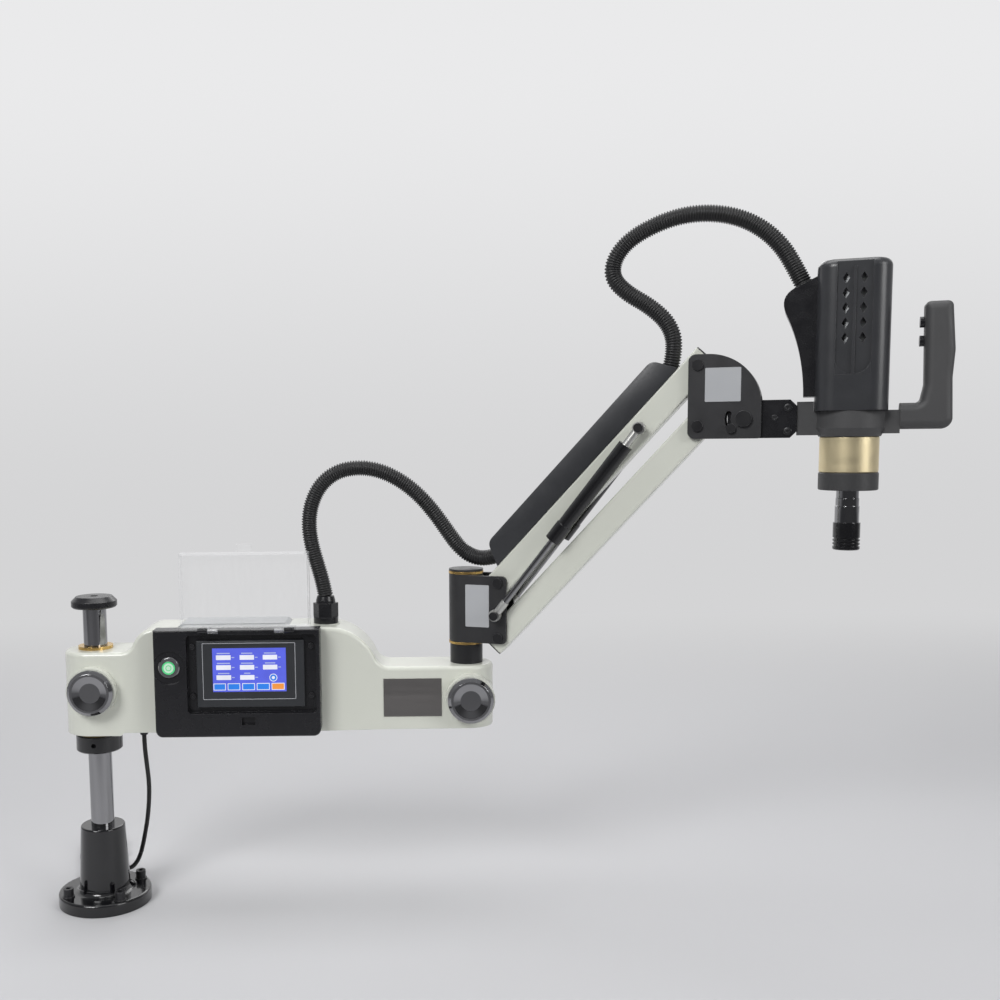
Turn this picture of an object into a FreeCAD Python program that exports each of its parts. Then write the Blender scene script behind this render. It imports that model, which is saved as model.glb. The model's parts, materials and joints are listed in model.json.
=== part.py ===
"""Arm tapping machine: a bolted base and column, a sliding and swinging lower arm with its
control panel, a parallelogram upper arm on gas springs, and a motor head with a grip.

Millimetres. Origin on the column's axis at the underside of the base, +X along the lower arm,
+Y away from the control panel, +Z up. The upper arm is swung towards the user, as it is used.
"""
import FreeCAD, Part

import math
import os
from types import SimpleNamespace

import Sketcher

Vector = FreeCAD.Vector
Rotation = FreeCAD.Rotation
Placement = FreeCAD.Placement

SIZES = (
    # fits shared by all pieces
    ("seat_gap", 0.02),
    ("run_gap", 0.05),
    ("face_gap", 0.3),
    ("loose_gap", 0.5),
    ("overrun", 5),
    # base
    ("flange_dia", 120),
    ("flange_thick", 16),
    ("flange_edge", 3),
    ("bolt_circle", 100),
    ("bolt_hole_dia", 9),
    ("bolt_first_angle", -53.7),
    ("cone_foot_dia", 66),
    ("cone_foot_blend", 7),
    ("cone_top_dia", 57),
    ("cone_top_edge", 2),
    ("cone_top_level", 104),
    ("column_seat_level", 10),
    # base screws, 8 mm socket heads over a spring washer and a flat one
    ("bolt_dia", 8),
    ("bolt_shank_dia", 7.8),
    ("bolt_head_dia", 13),
    ("bolt_head_high", 8),
    ("bolt_socket_flats", 6),
    ("bolt_socket_deep", 4),
    ("bolt_reach", 12),
    ("washer_dia", 16),
    ("washer_thick", 1.6),
    ("spring_washer_dia", 13),
    ("spring_washer_thick", 2.2),
    # column and its cap
    ("column_dia", 30),
    ("column_top_level", 401),
    ("column_thread_dia", 10),
    ("column_thread_deep", 30),
    ("cap_dia", 58),
    ("cap_low_level", 393.5),
    ("cap_rim_level", 402),
    ("cap_top_level", 408),
    ("cap_top_dia", 46),
    ("cap_hole_dia", 10),
    ("cap_under_edge", 2),
    # height collar
    ("collar_dia", 59),
    ("collar_low_level", 206),
    ("collar_high", 22),
    ("collar_edge", 1.5),
    ("collar_slot", 2.5),
    ("collar_grub_dia", 6),
    # lower arm casting
    ("column_boss_dia", 77),
    ("column_boss_top_level", 340),
    ("casting_low_level", 232.5),
    ("box_top_level", 370),
    ("box_left_shoulder_blend", 28),
    ("box_left_foot_blend", 18),
    ("box_left", 84),
    ("box_past_panel", 6.5),
    ("box_right_shoulder_blend", 68),
    ("box_right_foot_blend", 20),
    ("elbow_past_box", 180),
    ("elbow_boss_dia", 68),
    ("elbow_boss_top_level", 317),
    ("waist_back", 110),
    ("casting_edge", 5),
    ("casting_under_step", 4),
    ("gland_pad_dia", 36),
    ("bay_inset", 4),
    ("bay_right_inset", 11.5),
    ("bay_wall", 7),
    ("bay_low_level", 246),
    ("bay_top_level", 360),
    # bronze bushes on the column
    ("column_bush_dia", 38),
    ("column_bush_flange_dia", 44),
    ("column_bush_flange_thick", 4),
    ("column_bush_long", 25),
    ("column_relief_dia", 35),
    # round lock knobs
    ("knob_dia", 58),
    ("knob_rim_thick", 7),
    ("knob_dish_dia", 44),
    ("knob_dish_deep", 3),
    ("knob_bevel", 4),
    ("knob_hub_dia", 26),
    ("knob_stem_dia", 12),
    ("knob_seat_dia", 62),
    ("knob_seat_reach", 51),
    ("column_knob_along", 5),
    ("column_knob_level", 292),
    ("elbow_knob_off", 2),
    ("elbow_knob_level", 277),
    # control panel
    ("panel_inset", 4),
    ("panel_past_well", 4.5),
    ("panel_low_level", 236),
    ("panel_top_level", 372),
    ("panel_front", 62),
    ("panel_corner", 9),
    ("panel_edge", 2),
    ("well_inset", 41),
    ("well_past_screen", 15),
    ("well_low_level", 266),
    ("well_top_level", 366),
    ("well_deep", 9),
    ("well_corner", 5),
    ("well_back_wall", 3),
    ("screen_inset", 12),
    ("screen_wide", 135),
    ("screen_low_level", 273),
    ("screen_top_level", 358),
    ("screen_proud", 5.5),
    ("screen_edge", 1.5),
    ("window_inset", 20),
    ("window_wide", 92),
    ("window_low_level", 293),
    ("window_top_level", 348.5),
    ("window_deep", 2),
    ("window_thick", 1.6),
    ("lamp_dia", 27),
    ("lamp_well_dia", 42),
    ("lamp_well_deep", 2),
    ("lamp_inset", 19),
    ("lamp_level", 325),
    ("lamp_ring_proud", 2.5),
    ("lamp_body_dia", 22),
    ("button_dia", 17),
    ("button_proud", 1.5),
    ("button_long", 14),
    ("latch_inset", 79),
    ("latch_level", 255),
    ("latch_wide", 21),
    ("latch_high", 12),
    ("latch_deep", 8),
    ("latch_wire", 2),
    ("panel_screw_head_dia", 7),
    ("panel_screw_head_high", 2.6),
    ("panel_screw_dia", 3.5),
    ("panel_screw_long", 10),
    ("panel_screw_in", 6),
    ("panel_screw_top_level", 350),
    ("panel_screw_low_level", 287),
    # clear cover over the screen
    ("cover_overlap", 3),
    ("cover_wide", 159),
    ("cover_wall", 2),
    ("cover_tray", 16),
    ("cover_high", 92),
    ("cover_hinge_out", 70),
    ("cover_hinge_level", 373),
    ("cover_clear", 4.5),
    ("cover_pin_dia", 3),
    ("cover_knuckle_dia", 7),
    ("cover_knuckle_wide", 12),
    ("cover_knuckle_inset", 20),
    ("cover_tab_wide", 18),
    ("cover_tab_high", 10),
    ("cover_tab_thick", 3),
    # access plate, gland, name plate, driver and cord inlet
    ("lid_inset", 28),
    ("lid_long", 142),
    ("lid_depth", 50),
    ("lid_thick", 4),
    ("lid_slope", 5),
    ("gland_back", 2),
    ("gland_flange_dia", 32),
    ("gland_flange_thick", 8),
    ("gland_nut_flats", 28),
    ("gland_nut_high", 18),
    ("gland_neck_high", 3),
    ("gland_dome_dia", 25),
    ("gland_dome_high", 6),
    ("plate_back", 108),
    ("plate_long", 74),
    ("plate_low_level", 253),
    ("plate_top_level", 302),
    ("plate_thick", 0.8),
    ("driver_inset", 28),
    ("driver_long", 140),
    ("driver_high", 90),
    ("driver_deep", 40),
    ("inlet_along", 52),
    ("inlet_away", 28),
    ("inlet_dia", 14),
    ("inlet_nose_dia", 10),
    ("inlet_long", 20),
    ("inlet_flange_dia", 18),
    ("inlet_flange_thick", 3),
    # elbow shaft, post, cap and screws
    ("shaft_dia", 25),
    ("shaft_low_level", 243),
    ("post_dia", 42),
    ("post_top_level", 342),
    ("elbow_bush_flange_dia", 45),
    ("elbow_bush_flange_thick", 3),
    ("elbow_bush_dia", 31),
    ("elbow_bush_long", 24),
    ("hub_dia", 44),
    ("hub_low_level", 345.5),
    ("hub_top_level", 433),
    ("elbow_cap_dia", 44),
    ("elbow_cap_thick", 2.5),
    ("elbow_screw_dia", 6),
    ("elbow_screw_head_dia", 11),
    ("elbow_screw_head_high", 3),
    ("elbow_screw_long", 18),
    # parallelogram
    ("swing_angle", 20),
    ("lift_angle", 47.7),
    ("rear_pivot_out", 47.8),
    ("lower_pivot_level", 353.2),
    ("pivot_spacing", 70.5),
    ("link_long", 357),
    ("cheek_gap", 34),
    ("cheek_thick", 5),
    ("cheek_out", 58.6),
    ("cheek_low_level", 344),
    ("cheek_top_level", 432),
    ("cheek_corner", 6),
    ("pivot_pin_dia", 10),
    ("pivot_head_dia", 13),
    ("pivot_head_thick", 2.5),
    ("pivot_socket_flats", 5),
    ("bar_high", 31),
    ("bar_wide", 33),
    ("bar_wall", 3),
    ("bar_over", 13.6),
    ("bar_edge", 2.5),
    # cable duct on the upper bar
    ("duct_foot_start", 14),
    ("duct_top_start", 28),
    ("duct_foot_end", 339.5),
    ("duct_top_end", 325.8),
    ("duct_high", 29.5),
    ("duct_wall", 2.5),
    ("duct_bevel", 7),
    # gas springs
    ("spring_side", 30.5),
    ("spring_foot_out", 46.6),
    ("spring_foot_level", 383.9),
    ("spring_head_along", 259.7),
    ("spring_tube_dia", 18),
    ("spring_bore_dia", 14.6),
    ("spring_tube_start", 121),
    ("spring_tube_long", 145),
    ("spring_collar_dia", 20),
    ("spring_collar_long", 24),
    ("spring_blind", 6),
    ("spring_rod_dia", 8),
    ("spring_rod_long", 225),
    ("spring_eye_dia", 15),
    ("spring_eye_wide", 8),
    ("spring_neck_dia", 10),
    ("spring_neck_long", 22),
    ("spring_pin_dia", 6),
    ("spring_pin_head_dia", 11),
    ("spring_pin_head_thick", 5),
    # front bracket
    ("front_plate_back", 10.7),
    ("front_plate_under", 15),
    ("front_plate_over", 82.7517),
    ("front_plate_wide", 82),
    ("front_plate_arc", 60),
    ("front_plate_corner", 8),
    ("front_strip_thick", 2.5),
    ("front_strip_low_angle", 12),
    ("front_strip_top_angle", 78),
    ("tilt_ahead", 51.9345),
    ("tilt_up", 7.7517),
    ("tilt_pin_dia", 10),
    ("tilt_head_dia", 18.5),
    ("tilt_head_thick", 4),
    ("tilt_lock_radius", 17.6),
    ("tilt_lock_angle", 218.8),
    ("tilt_slot_turn", 58),
    ("tilt_lock_dia", 6),
    ("tilt_lock_head_dia", 11),
    ("tilt_lock_head_thick", 3.5),
    # head bar and clamp
    ("head_bar_back", 18),
    ("head_bar_reach", 57.5),
    ("head_bar_under", 22.5),
    ("head_bar_high", 43.5),
    ("head_bar_bevel", 7),
    ("head_reach", 114.3),
    ("clamp_tongue_high", 38),
    ("clamp_tongue_wide", 28),
    ("clamp_dia", 76),
    ("clamp_high", 19.5),
    ("clamp_rise", 7.5),
    ("clamp_cone_high", 9.5),
    ("clamp_cone_dia", 66),
    ("clamp_bore_dia", 50),
    ("handle_lug_reach", 51.2),
    ("handle_lug_high", 26),
    ("handle_lug_wide", 26),
    # motor housing
    ("housing_wide", 77),
    ("housing_deep", 77),
    ("housing_corner", 20),
    ("housing_high", 165),
    ("housing_top_edge", 9),
    ("housing_wall", 3),
    ("vent_wide", 7),
    ("vent_high", 12),
    ("vent_pitch", 16.2),
    ("vent_drop", 21.5),
    ("vent_side", 9),
    ("recess_wide", 37),
    ("recess_deep", 2),
    ("recess_rise", 39.5),
    ("recess_ridge", 3),
    ("motor_dia", 62),
    ("motor_clear", 6),
    # reducer, nose, spindle and tap holder
    ("reducer_dia", 63.5),
    ("reducer_high", 40.5),
    ("nose_dia", 64.5),
    ("nose_high", 20),
    ("nose_edge", 1),
    ("spindle_dia", 26.5),
    ("spindle_neck_dia", 24.5),
    ("spindle_band_dia", 25.4),
    ("spindle_band_drop", 9.5),
    ("spindle_band_high", 9),
    ("spindle_lip_high", 19),
    ("spindle_bore_dia", 19),
    ("spindle_bore_deep", 30),
    ("holder_shank_dia", 19),
    ("holder_shank_long", 24),
    ("holder_head_dia", 29.5),
    ("holder_head_high", 31),
    ("holder_groove_deep", 1.2),
    ("holder_groove_wide", 2),
    ("tap_bore_dia", 9),
    ("tap_bore_deep", 22),
    # terminal box
    ("terminal_wide", 44),
    ("terminal_long", 37),
    ("terminal_rise", 15.2),
    ("terminal_high", 139),
    # grip
    ("grip_drop", 21.5),
    ("grip_high", 139),
    ("grip_reach", 104.7),
    ("grip_thick", 32),
    ("grip_arm_high", 29),
    ("grip_lean", 2),
    ("grip_blend", 12),
    ("grip_deep", 30),
    ("grip_round", 9),
    ("start_button_drop", 22),
    ("button_pitch", 20.5),
    ("grip_button_dia", 12),
    ("grip_button_proud", 4),
    ("grip_button_long", 12),
    # hoses and cord
    ("hose_dia", 20),
    ("hose_bore_dia", 14),
    ("hose_rib_deep", 1.6),
    ("hose_end_long", 20),
    ("hose_ribs", 40),
    ("hose_rings", 24),
    ("cord_dia", 6),
    ("hank_run", 112),
    ("hank_lead", 30),
    ("hank_heading", 105.66),
    ("hank_reach", 146.5),
    ("hank_side", 1.6),
    ("hank_first_lane", 30),
    ("hank_pitch", 6.5),
    ("hank_waist_angle", 3),
    ("hank_waist_bend", 120),
    ("plug_start", -8),
    ("plug_side", 3),
    ("plug_level", 21.8),
    ("plug_nose_long", 12),
    ("plug_long", 30),
    ("plug_wide", 38),
    ("plug_thick", 18),
    ("plug_edge", 4),
    ("plug_pin_dia", 4.8),
    ("plug_pin_long", 19),
    ("plug_pin_side", 9.5),
)


class Size:
    """A named size, or a sum of them: its value now and the expression that gives it."""

    def __init__(self, value, text):
        self.value = float(value)
        self.text = text

    def __float__(self):
        return self.value

    def joined(self, other, sign, value, swapped=False):
        text = other.text if isinstance(other, Size) else repr(other)
        pair = (text, self.text) if swapped else (self.text, text)
        return Size(value, "(%s %s %s)" % (pair[0], sign, pair[1]))

    def __add__(self, other):
        return self.joined(other, "+", self.value + float(other))

    def __radd__(self, other):
        return self.joined(other, "+", float(other) + self.value, True)

    def __sub__(self, other):
        return self.joined(other, "-", self.value - float(other))

    def __rsub__(self, other):
        return self.joined(other, "-", float(other) - self.value, True)

    def __mul__(self, other):
        return self.joined(other, "*", self.value * float(other))

    def __rmul__(self, other):
        return self.joined(other, "*", float(other) * self.value, True)

    def __truediv__(self, other):
        return self.joined(other, "/", self.value / float(other))

    def __neg__(self):
        return Size(-self.value, "(-1 * %s)" % self.text)

    def cos(self):
        return Size(math.cos(math.radians(self.value)), "cos(%s)" % self.text)

    def sin(self):
        return Size(math.sin(math.radians(self.value)), "sin(%s)" % self.text)


doc = FreeCAD.newDocument("ArmTapper")
sheet = doc.addObject("Spreadsheet::Sheet", "Sizes")
for row, (alias, number) in enumerate(SIZES, start=1):
    sheet.set("A%d" % row, alias)
    sheet.set("B%d" % row, str(number))
    sheet.setAlias("B%d" % row, alias)
doc.recompute()
s = SimpleNamespace(**{alias: Size(sheet.get(alias), "Sizes." + alias) for alias, _ in SIZES})

# Places worked out from the sizes, so that what fits together moves together
s.panel_left = s.box_left + s.panel_inset
s.lamp_along = s.panel_left + s.lamp_inset
s.well_left = s.panel_left + s.well_inset
s.screen_left = s.well_left + s.screen_inset
s.screen_right = s.screen_left + s.screen_wide
s.window_left = s.screen_left + s.window_inset
s.window_right = s.window_left + s.window_wide
s.well_right = s.screen_right + s.well_past_screen
s.panel_right = s.well_right + s.panel_past_well
s.bay_left = s.panel_left + s.bay_inset
s.bay_right = s.panel_right - s.bay_right_inset
s.cover_left = s.well_left - s.cover_overlap
s.cover_right = s.cover_left + s.cover_wide
s.latch_along = s.cover_left + s.latch_inset
s.driver_left = s.bay_left + s.driver_inset
s.lid_left = s.box_left + s.lid_inset
s.lid_right = s.lid_left + s.lid_long
s.box_right = s.panel_right + s.box_past_panel
s.gland_along = s.box_right - s.gland_back
s.elbow_reach = s.box_right + s.elbow_past_box
s.waist_reach = s.elbow_reach - s.waist_back
s.elbow_knob_along = s.elbow_reach + s.elbow_knob_off
s.plate_left = s.elbow_reach - s.plate_back
s.plate_right = s.plate_left + s.plate_long
s.front_pivot_out = s.rear_pivot_out + s.link_long * s.lift_angle.cos()
s.front_low = s.lower_pivot_level + s.link_long * s.lift_angle.sin()
s.front_plate_top_level = s.front_low + s.front_plate_over
s.tilt_along = s.front_pivot_out + s.tilt_ahead
s.tilt_level = s.front_low + s.tilt_up
s.head_bar_start = s.tilt_along - s.head_bar_back
s.head_bar_end = s.tilt_along + s.head_bar_reach
s.head_bar_low_level = s.tilt_level - s.head_bar_under
s.head_out = s.tilt_along + s.head_reach
s.clamp_top_level = s.tilt_level + s.clamp_rise
s.clamp_low_level = s.clamp_top_level - s.clamp_high
s.clamp_cone_level = s.clamp_low_level - s.clamp_cone_high
s.handle_lug_end = s.head_out + s.handle_lug_reach
s.housing_top_level = s.clamp_top_level + s.housing_high
s.vent_top_level = s.housing_top_level - s.vent_drop
s.recess_low_level = s.clamp_top_level + s.recess_rise
s.reducer_low_level = s.clamp_cone_level - s.reducer_high
s.nose_low_level = s.reducer_low_level - s.nose_high
s.spindle_band_top_level = s.nose_low_level - s.spindle_band_drop
s.spindle_band_low_level = s.spindle_band_top_level - s.spindle_band_high
s.spindle_low_level = s.spindle_band_low_level - s.spindle_lip_high
s.holder_head_low_level = s.spindle_low_level - s.holder_head_high
s.terminal_low_level = s.clamp_top_level + s.terminal_rise
s.grip_low_level = s.clamp_top_level - s.grip_drop
s.grip_top_level = s.grip_low_level + s.grip_high
s.grip_right = s.head_out + s.grip_reach
s.start_button_level = s.grip_top_level - s.start_button_drop
s.reverse_button_level = s.start_button_level - s.button_pitch

# How a piece that is made along +Z is turned to point along another axis
TURNS = {
    "z": Rotation(),
    "-z": Rotation(Vector(1, 0, 0), 180),
    "x": Rotation(Vector(0, 1, 0), 90),
    "-x": Rotation(Vector(0, 1, 0), -90),
    "y": Rotation(Vector(1, 0, 0), -90),
    "-y": Rotation(Vector(1, 0, 0), 90),
}
nodes = {}


def keep(name, thing, frame=None):
    """Give a finished sub-part its own label and its place in the machine."""
    if frame is not None:
        if thing.Placement != Placement():
            thing.Label = name + "_form"
            thing = group(name + "_set", [thing])
        thing.Placement = frame
    thing.Label = name
    nodes[name] = thing
    return thing


def bind(thing, prop, amount):
    thing.setExpression(prop, amount.text)


def place(thing, at, along="z"):
    base = Vector(*[float(amount) for amount in at])
    thing.Placement = Placement(base, TURNS[along])
    for axis, amount in zip("xyz", at):
        if isinstance(amount, Size):
            bind(thing, "Placement.Base." + axis, amount)
    return thing


def rod(name, dia, length, at=(0, 0, 0), along="z"):
    thing = doc.addObject("Part::Cylinder", name)
    bind(thing, "Radius", dia / 2)
    bind(thing, "Height", length)
    return place(thing, at, along)


def block(name, long, deep, high, at):
    thing = doc.addObject("Part::Box", name)
    bind(thing, "Length", long)
    bind(thing, "Width", deep)
    bind(thing, "Height", high)
    return place(thing, at)


def hexagon(name, flats, length, at=(0, 0, 0), along="z"):
    thing = doc.addObject("Part::Prism", name)
    thing.Polygon = 6
    bind(thing, "Circumradius", flats / 2 / Size(30, "30").cos())
    bind(thing, "Height", length)
    return place(thing, at, along)


def joined(name, *things):
    thing = doc.addObject("Part::MultiFuse", name)
    thing.Shapes = list(things)
    return thing


def group(name, things):
    thing = doc.addObject("Part::Compound", name)
    thing.Links = list(things)
    return thing


def cut(name, base, *tools):
    thing = doc.addObject("Part::Cut", name)
    thing.Base = base
    thing.Tool = tools[0] if len(tools) == 1 else joined(name + "_tools", *tools)
    return thing


def outline(body, role, points, name="Outline"):
    """A closed sketch of straight edges, each corner held by its two named distances."""
    sketch = body.newObject("Sketcher::SketchObject", body.Name + name)
    plane = [f for f in body.Origin.OriginFeatures if f.Role == role + "_Plane"][0]
    sketch.AttachmentSupport = [(plane, "")]
    sketch.MapMode = "FlatFace"
    ends = [Vector(float(across), float(up), 0) for across, up in points]
    count = len(points)
    for i in range(count):
        sketch.addGeometry(Part.LineSegment(ends[i], ends[(i + 1) % count]), False)
    for i in range(count):
        sketch.addConstraint(Sketcher.Constraint("Coincident", i, 2, (i + 1) % count, 1))
    for i, point in enumerate(points):
        for kind, axis, amount in (("DistanceX", -2, point[0]), ("DistanceY", -1, point[1])):
            if not isinstance(amount, Size):
                sketch.addConstraint(Sketcher.Constraint("PointOnObject", i, 1, axis))
            elif amount.value > 0:
                c = sketch.addConstraint(Sketcher.Constraint(kind, -1, 1, i, 1, amount.value))
                sketch.setExpression("Constraints[%d]" % c, amount.text)
            else:
                c = sketch.addConstraint(Sketcher.Constraint(kind, i, 1, -1, 1, -amount.value))
                sketch.setExpression("Constraints[%d]" % c, (-amount).text)
    return sketch


def turned(name, points, at=None, along="z"):
    """A piece turned about Z from its half outline of (radius, level) points."""
    body = doc.addObject("PartDesign::Body", name)
    turn = body.newObject("PartDesign::Revolution", name + "Turn")
    turn.Profile = outline(body, "XZ", points)
    turn.ReferenceAxis = (turn.Profile[0], ["V_Axis"])
    turn.Angle = 360
    body.Tip = turn
    if at is not None:
        place(body, at, along)
    return body


def padded(name, role, points, thick, middle=False, back=None):
    """A plate padded from a closed outline, about its plane or from `back` behind it."""
    body = doc.addObject("PartDesign::Body", name)
    pad = body.newObject("PartDesign::Pad", name + "Pad")
    pad.Profile = outline(body, role, points)
    bind(pad, "Length", thick)
    pad.Midplane = middle
    if back is not None:
        bind(pad.Profile[0], "AttachmentOffset.Base.z", back)
    body.Tip = pad
    return body


def dressed(body, kind, amount, wanted):
    """Fillet or chamfer the edges that wanted() picks on the body's last feature."""
    doc.recompute()
    base = body.Tip
    names = ["Edge%d" % (i + 1) for i, edge in enumerate(base.Shape.Edges) if wanted(edge)]
    feature = body.newObject("PartDesign::" + kind, "%s%s%d" % (body.Name, kind, len(body.Group)))
    feature.Base = (base, names)
    bind(feature, "Radius" if kind == "Fillet" else "Size", amount)
    body.Tip = feature
    return body


def near(value, amount, within=0.01):
    return abs(value - float(amount)) < within


def ring_at(radius, level):
    """Picks the circular edges of one radius at one level."""
    def wanted(edge):
        curve = edge.Curve
        return (isinstance(curve, Part.Circle) and near(curve.Radius, radius)
                and near(curve.Center.z, level))
    return wanted


def straight_along(axis):
    """Picks the straight edges that run along one axis."""
    def wanted(edge):
        if not isinstance(edge.Curve, Part.Line):
            return False
        direction = edge.Curve.Direction
        return abs(getattr(direction, axis)) > 0.999
    return wanted


def socket_screw(name, head_dia, head_high, shank_dia, reach, flats, socket_deep, at, along="z"):
    """A cap screw: head on the side it points to, shank behind its bearing face."""
    head = rod(name + "_head", head_dia, head_high)
    shank = rod(name + "_shank", shank_dia, head_high - socket_deep + reach, (0, 0, -reach))
    socket = hexagon(name + "_socket", flats, socket_deep + s.overrun, (0, 0, head_high - socket_deep))
    return place(cut(name, joined(name + "_blank", head, shank), socket), at, along)


def rounded(points, radii):
    """A closed wire through points in a plane, each corner rounded by its own radius."""
    count = len(points)
    starts, ends, mids = [], [], []
    for i, corner in enumerate(points):
        before = (points[i - 1] - corner).normalize()
        after = (points[(i + 1) % count] - corner).normalize()
        half = before.getAngle(after) / 2
        radius = radii[i]
        reach = radius / math.tan(half)
        middle = (before + after).normalize()
        starts.append(corner + before * reach)
        ends.append(corner + after * reach)
        mids.append(corner + middle * (radius / math.sin(half) - radius))
    edges = []
    for i in range(count):
        if radii[i] > 0:
            edges.append(Part.Arc(starts[i], mids[i], ends[i]).toShape())
        following = (i + 1) % count
        if (starts[following] - ends[i]).Length > 1e-6:
            edges.append(Part.LineSegment(ends[i], starts[following]).toShape())
    return Part.Wire(edges)


def feature(name, shape):
    thing = doc.addObject("Part::Feature", name)
    thing.Shape = shape
    return thing


# Base: a cast foot turned on its underside, with a socket for the column
foot = turned("base_foot", [
    (0, 0),
    (s.flange_dia / 2, 0),
    (s.flange_dia / 2, s.flange_thick),
    (s.cone_foot_dia / 2, s.flange_thick),
    (s.cone_top_dia / 2, s.cone_top_level),
    (s.column_dia / 2 + s.seat_gap, s.cone_top_level),
    (s.column_dia / 2 + s.seat_gap, s.column_seat_level),
    (0, s.column_seat_level),
])
dressed(foot, "Fillet", s.flange_edge, ring_at(s.flange_dia / 2, s.flange_thick))
dressed(foot, "Fillet", s.cone_foot_blend, ring_at(s.cone_foot_dia / 2, s.flange_thick))
dressed(foot, "Fillet", s.cone_top_edge, ring_at(s.cone_top_dia / 2, s.cone_top_level))

bolt_holes = []
bolts = []
for i in range(4):
    turn = s.bolt_first_angle + 90 * i
    spot = (s.bolt_circle / 2 * turn.cos(), s.bolt_circle / 2 * turn.sin())
    bolt_holes.append(rod("bolt_hole%d" % i, s.bolt_hole_dia, s.flange_thick + 2 * s.overrun,
                          (spot[0], spot[1], -s.overrun)))
    washer_top = s.flange_thick + s.washer_thick + s.spring_washer_thick
    bolts.append(joined(
        "bolt%d" % i,
        socket_screw("bolt_top%d" % i, s.bolt_head_dia, s.bolt_head_high, s.bolt_shank_dia, washer_top,
                     s.bolt_socket_flats, s.bolt_socket_deep, (spot[0], spot[1], washer_top)),
        rod("bolt_thread%d" % i, s.bolt_dia, s.bolt_reach, (spot[0], spot[1], -s.bolt_reach))))
    inner = s.bolt_dia / 2 + s.run_gap
    bolts.append(turned("bolt_washer%d" % i, [
        (inner, 0),
        (s.washer_dia / 2, 0),
        (s.washer_dia / 2, s.washer_thick),
        (s.spring_washer_dia / 2, s.washer_thick),
        (s.spring_washer_dia / 2, s.washer_thick + s.spring_washer_thick),
        (inner, s.washer_thick + s.spring_washer_thick),
    ], (spot[0], spot[1], s.flange_thick)))
keep("base", cut("base", foot, *bolt_holes))
keep("base_screws", group("base_screws", bolts))

# Column: a ground and plated bar, with a cap that keeps the arm on it
keep("column", turned("column", [
    (0, s.column_seat_level),
    (s.column_dia / 2, s.column_seat_level),
    (s.column_dia / 2, s.column_top_level),
    (s.column_thread_dia / 2, s.column_top_level),
    (s.column_thread_dia / 2, s.column_top_level - s.column_thread_deep),
    (0, s.column_top_level - s.column_thread_deep),
]))
keep("column_cap", turned("column_cap", [
    (s.column_dia / 2 + s.seat_gap, s.cap_low_level),
    (s.cap_dia / 2 - s.cap_under_edge, s.cap_low_level),
    (s.cap_dia / 2, s.cap_low_level + s.cap_under_edge),
    (s.cap_dia / 2, s.cap_rim_level),
    (s.cap_top_dia / 2, s.cap_top_level),
    (s.cap_hole_dia / 2, s.cap_top_level),
    (s.cap_hole_dia / 2, s.column_top_level),
    (s.column_dia / 2 + s.seat_gap, s.column_top_level),
]))

# Height collar: a split ring that carries the arm and locks on the column
collar = turned("collar_ring", [
    (s.column_dia / 2 + s.run_gap, 0),
    (s.collar_dia / 2 - s.collar_edge, 0),
    (s.collar_dia / 2, s.collar_edge),
    (s.collar_dia / 2, s.collar_high - s.collar_edge),
    (s.collar_dia / 2 - s.collar_edge, s.collar_high),
    (s.column_dia / 2 + s.run_gap, s.collar_high),
])
collar_slot = block("collar_slot", s.collar_dia, s.collar_slot, s.collar_high + 2 * s.overrun,
                    (0, -s.collar_slot / 2, -s.overrun))
collar_grub = rod("collar_grub", s.collar_grub_dia, s.collar_dia, (0, 0, s.collar_high / 2), "-y")
keep("height_collar", place(cut("height_collar", collar, collar_slot, collar_grub),
                            (0, 0, s.collar_low_level)))


# Lower arm casting: the side outline and the plan outline cut each other, then its bores
def s_bend(start, side, high, low, shoulder, hollow):
    """Edges that fall from high to low by a convex and then a hollow arc, and their low end."""
    turn = math.acos(1 - (high - low) / (shoulder + hollow))

    def on_shoulder(angle):
        return Vector(start + side * shoulder * math.sin(angle), 0, high - shoulder * (1 - math.cos(angle)))

    foot_x = start + side * (shoulder + hollow) * math.sin(turn)

    def on_hollow(angle):
        return Vector(foot_x - side * hollow * math.sin(angle), 0, low + hollow * (1 - math.cos(angle)))

    convex = Part.Arc(on_shoulder(0), on_shoulder(turn / 2), on_shoulder(turn))
    concave = Part.Arc(on_shoulder(turn), on_hollow(turn / 2), on_hollow(0))
    return [convex.toShape(), concave.toShape()], on_shoulder(0), on_hollow(0)


def casting_side():
    left = -float(s.column_boss_dia)
    right = float(s.elbow_reach + s.elbow_boss_dia)
    low = float(s.casting_low_level)
    under = float(s.casting_low_level + s.casting_under_step)
    step = float(s.column_boss_dia / 2)
    left_edges, left_top, left_foot = s_bend(
        float(s.box_left), -1, float(s.box_top_level), float(s.column_boss_top_level),
        float(s.box_left_shoulder_blend), float(s.box_left_foot_blend))
    right_edges, right_top, right_foot = s_bend(
        float(s.box_right), 1, float(s.box_top_level), float(s.elbow_boss_top_level),
        float(s.box_right_shoulder_blend), float(s.box_right_foot_blend))
    ends = [left_foot, Vector(left, 0, left_foot.z), Vector(left, 0, low), Vector(step, 0, low),
            Vector(step + under - low, 0, under), Vector(right, 0, under),
            Vector(right, 0, right_foot.z), right_foot]
    edges = [Part.LineSegment(a, b).toShape() for a, b in zip(ends, ends[1:])]
    edges.append(Part.LineSegment(left_top, right_top).toShape())
    return Part.Wire(Part.__sortEdges__(edges + left_edges + right_edges))


def casting_plan():
    boss = float(s.column_boss_dia) / 2
    elbow = float(s.elbow_boss_dia) / 2
    near_side = [(-boss, boss, boss), (float(s.box_right), boss, boss), (float(s.waist_reach), elbow, boss),
                 (float(s.elbow_reach) + elbow, elbow, elbow)]
    corners = [Vector(x, -y, 0) for x, y, _ in near_side] + [Vector(x, y, 0) for x, y, _ in near_side[::-1]]
    blends = [blend for _, _, blend in near_side]
    return rounded(corners, blends + blends[::-1])


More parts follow.
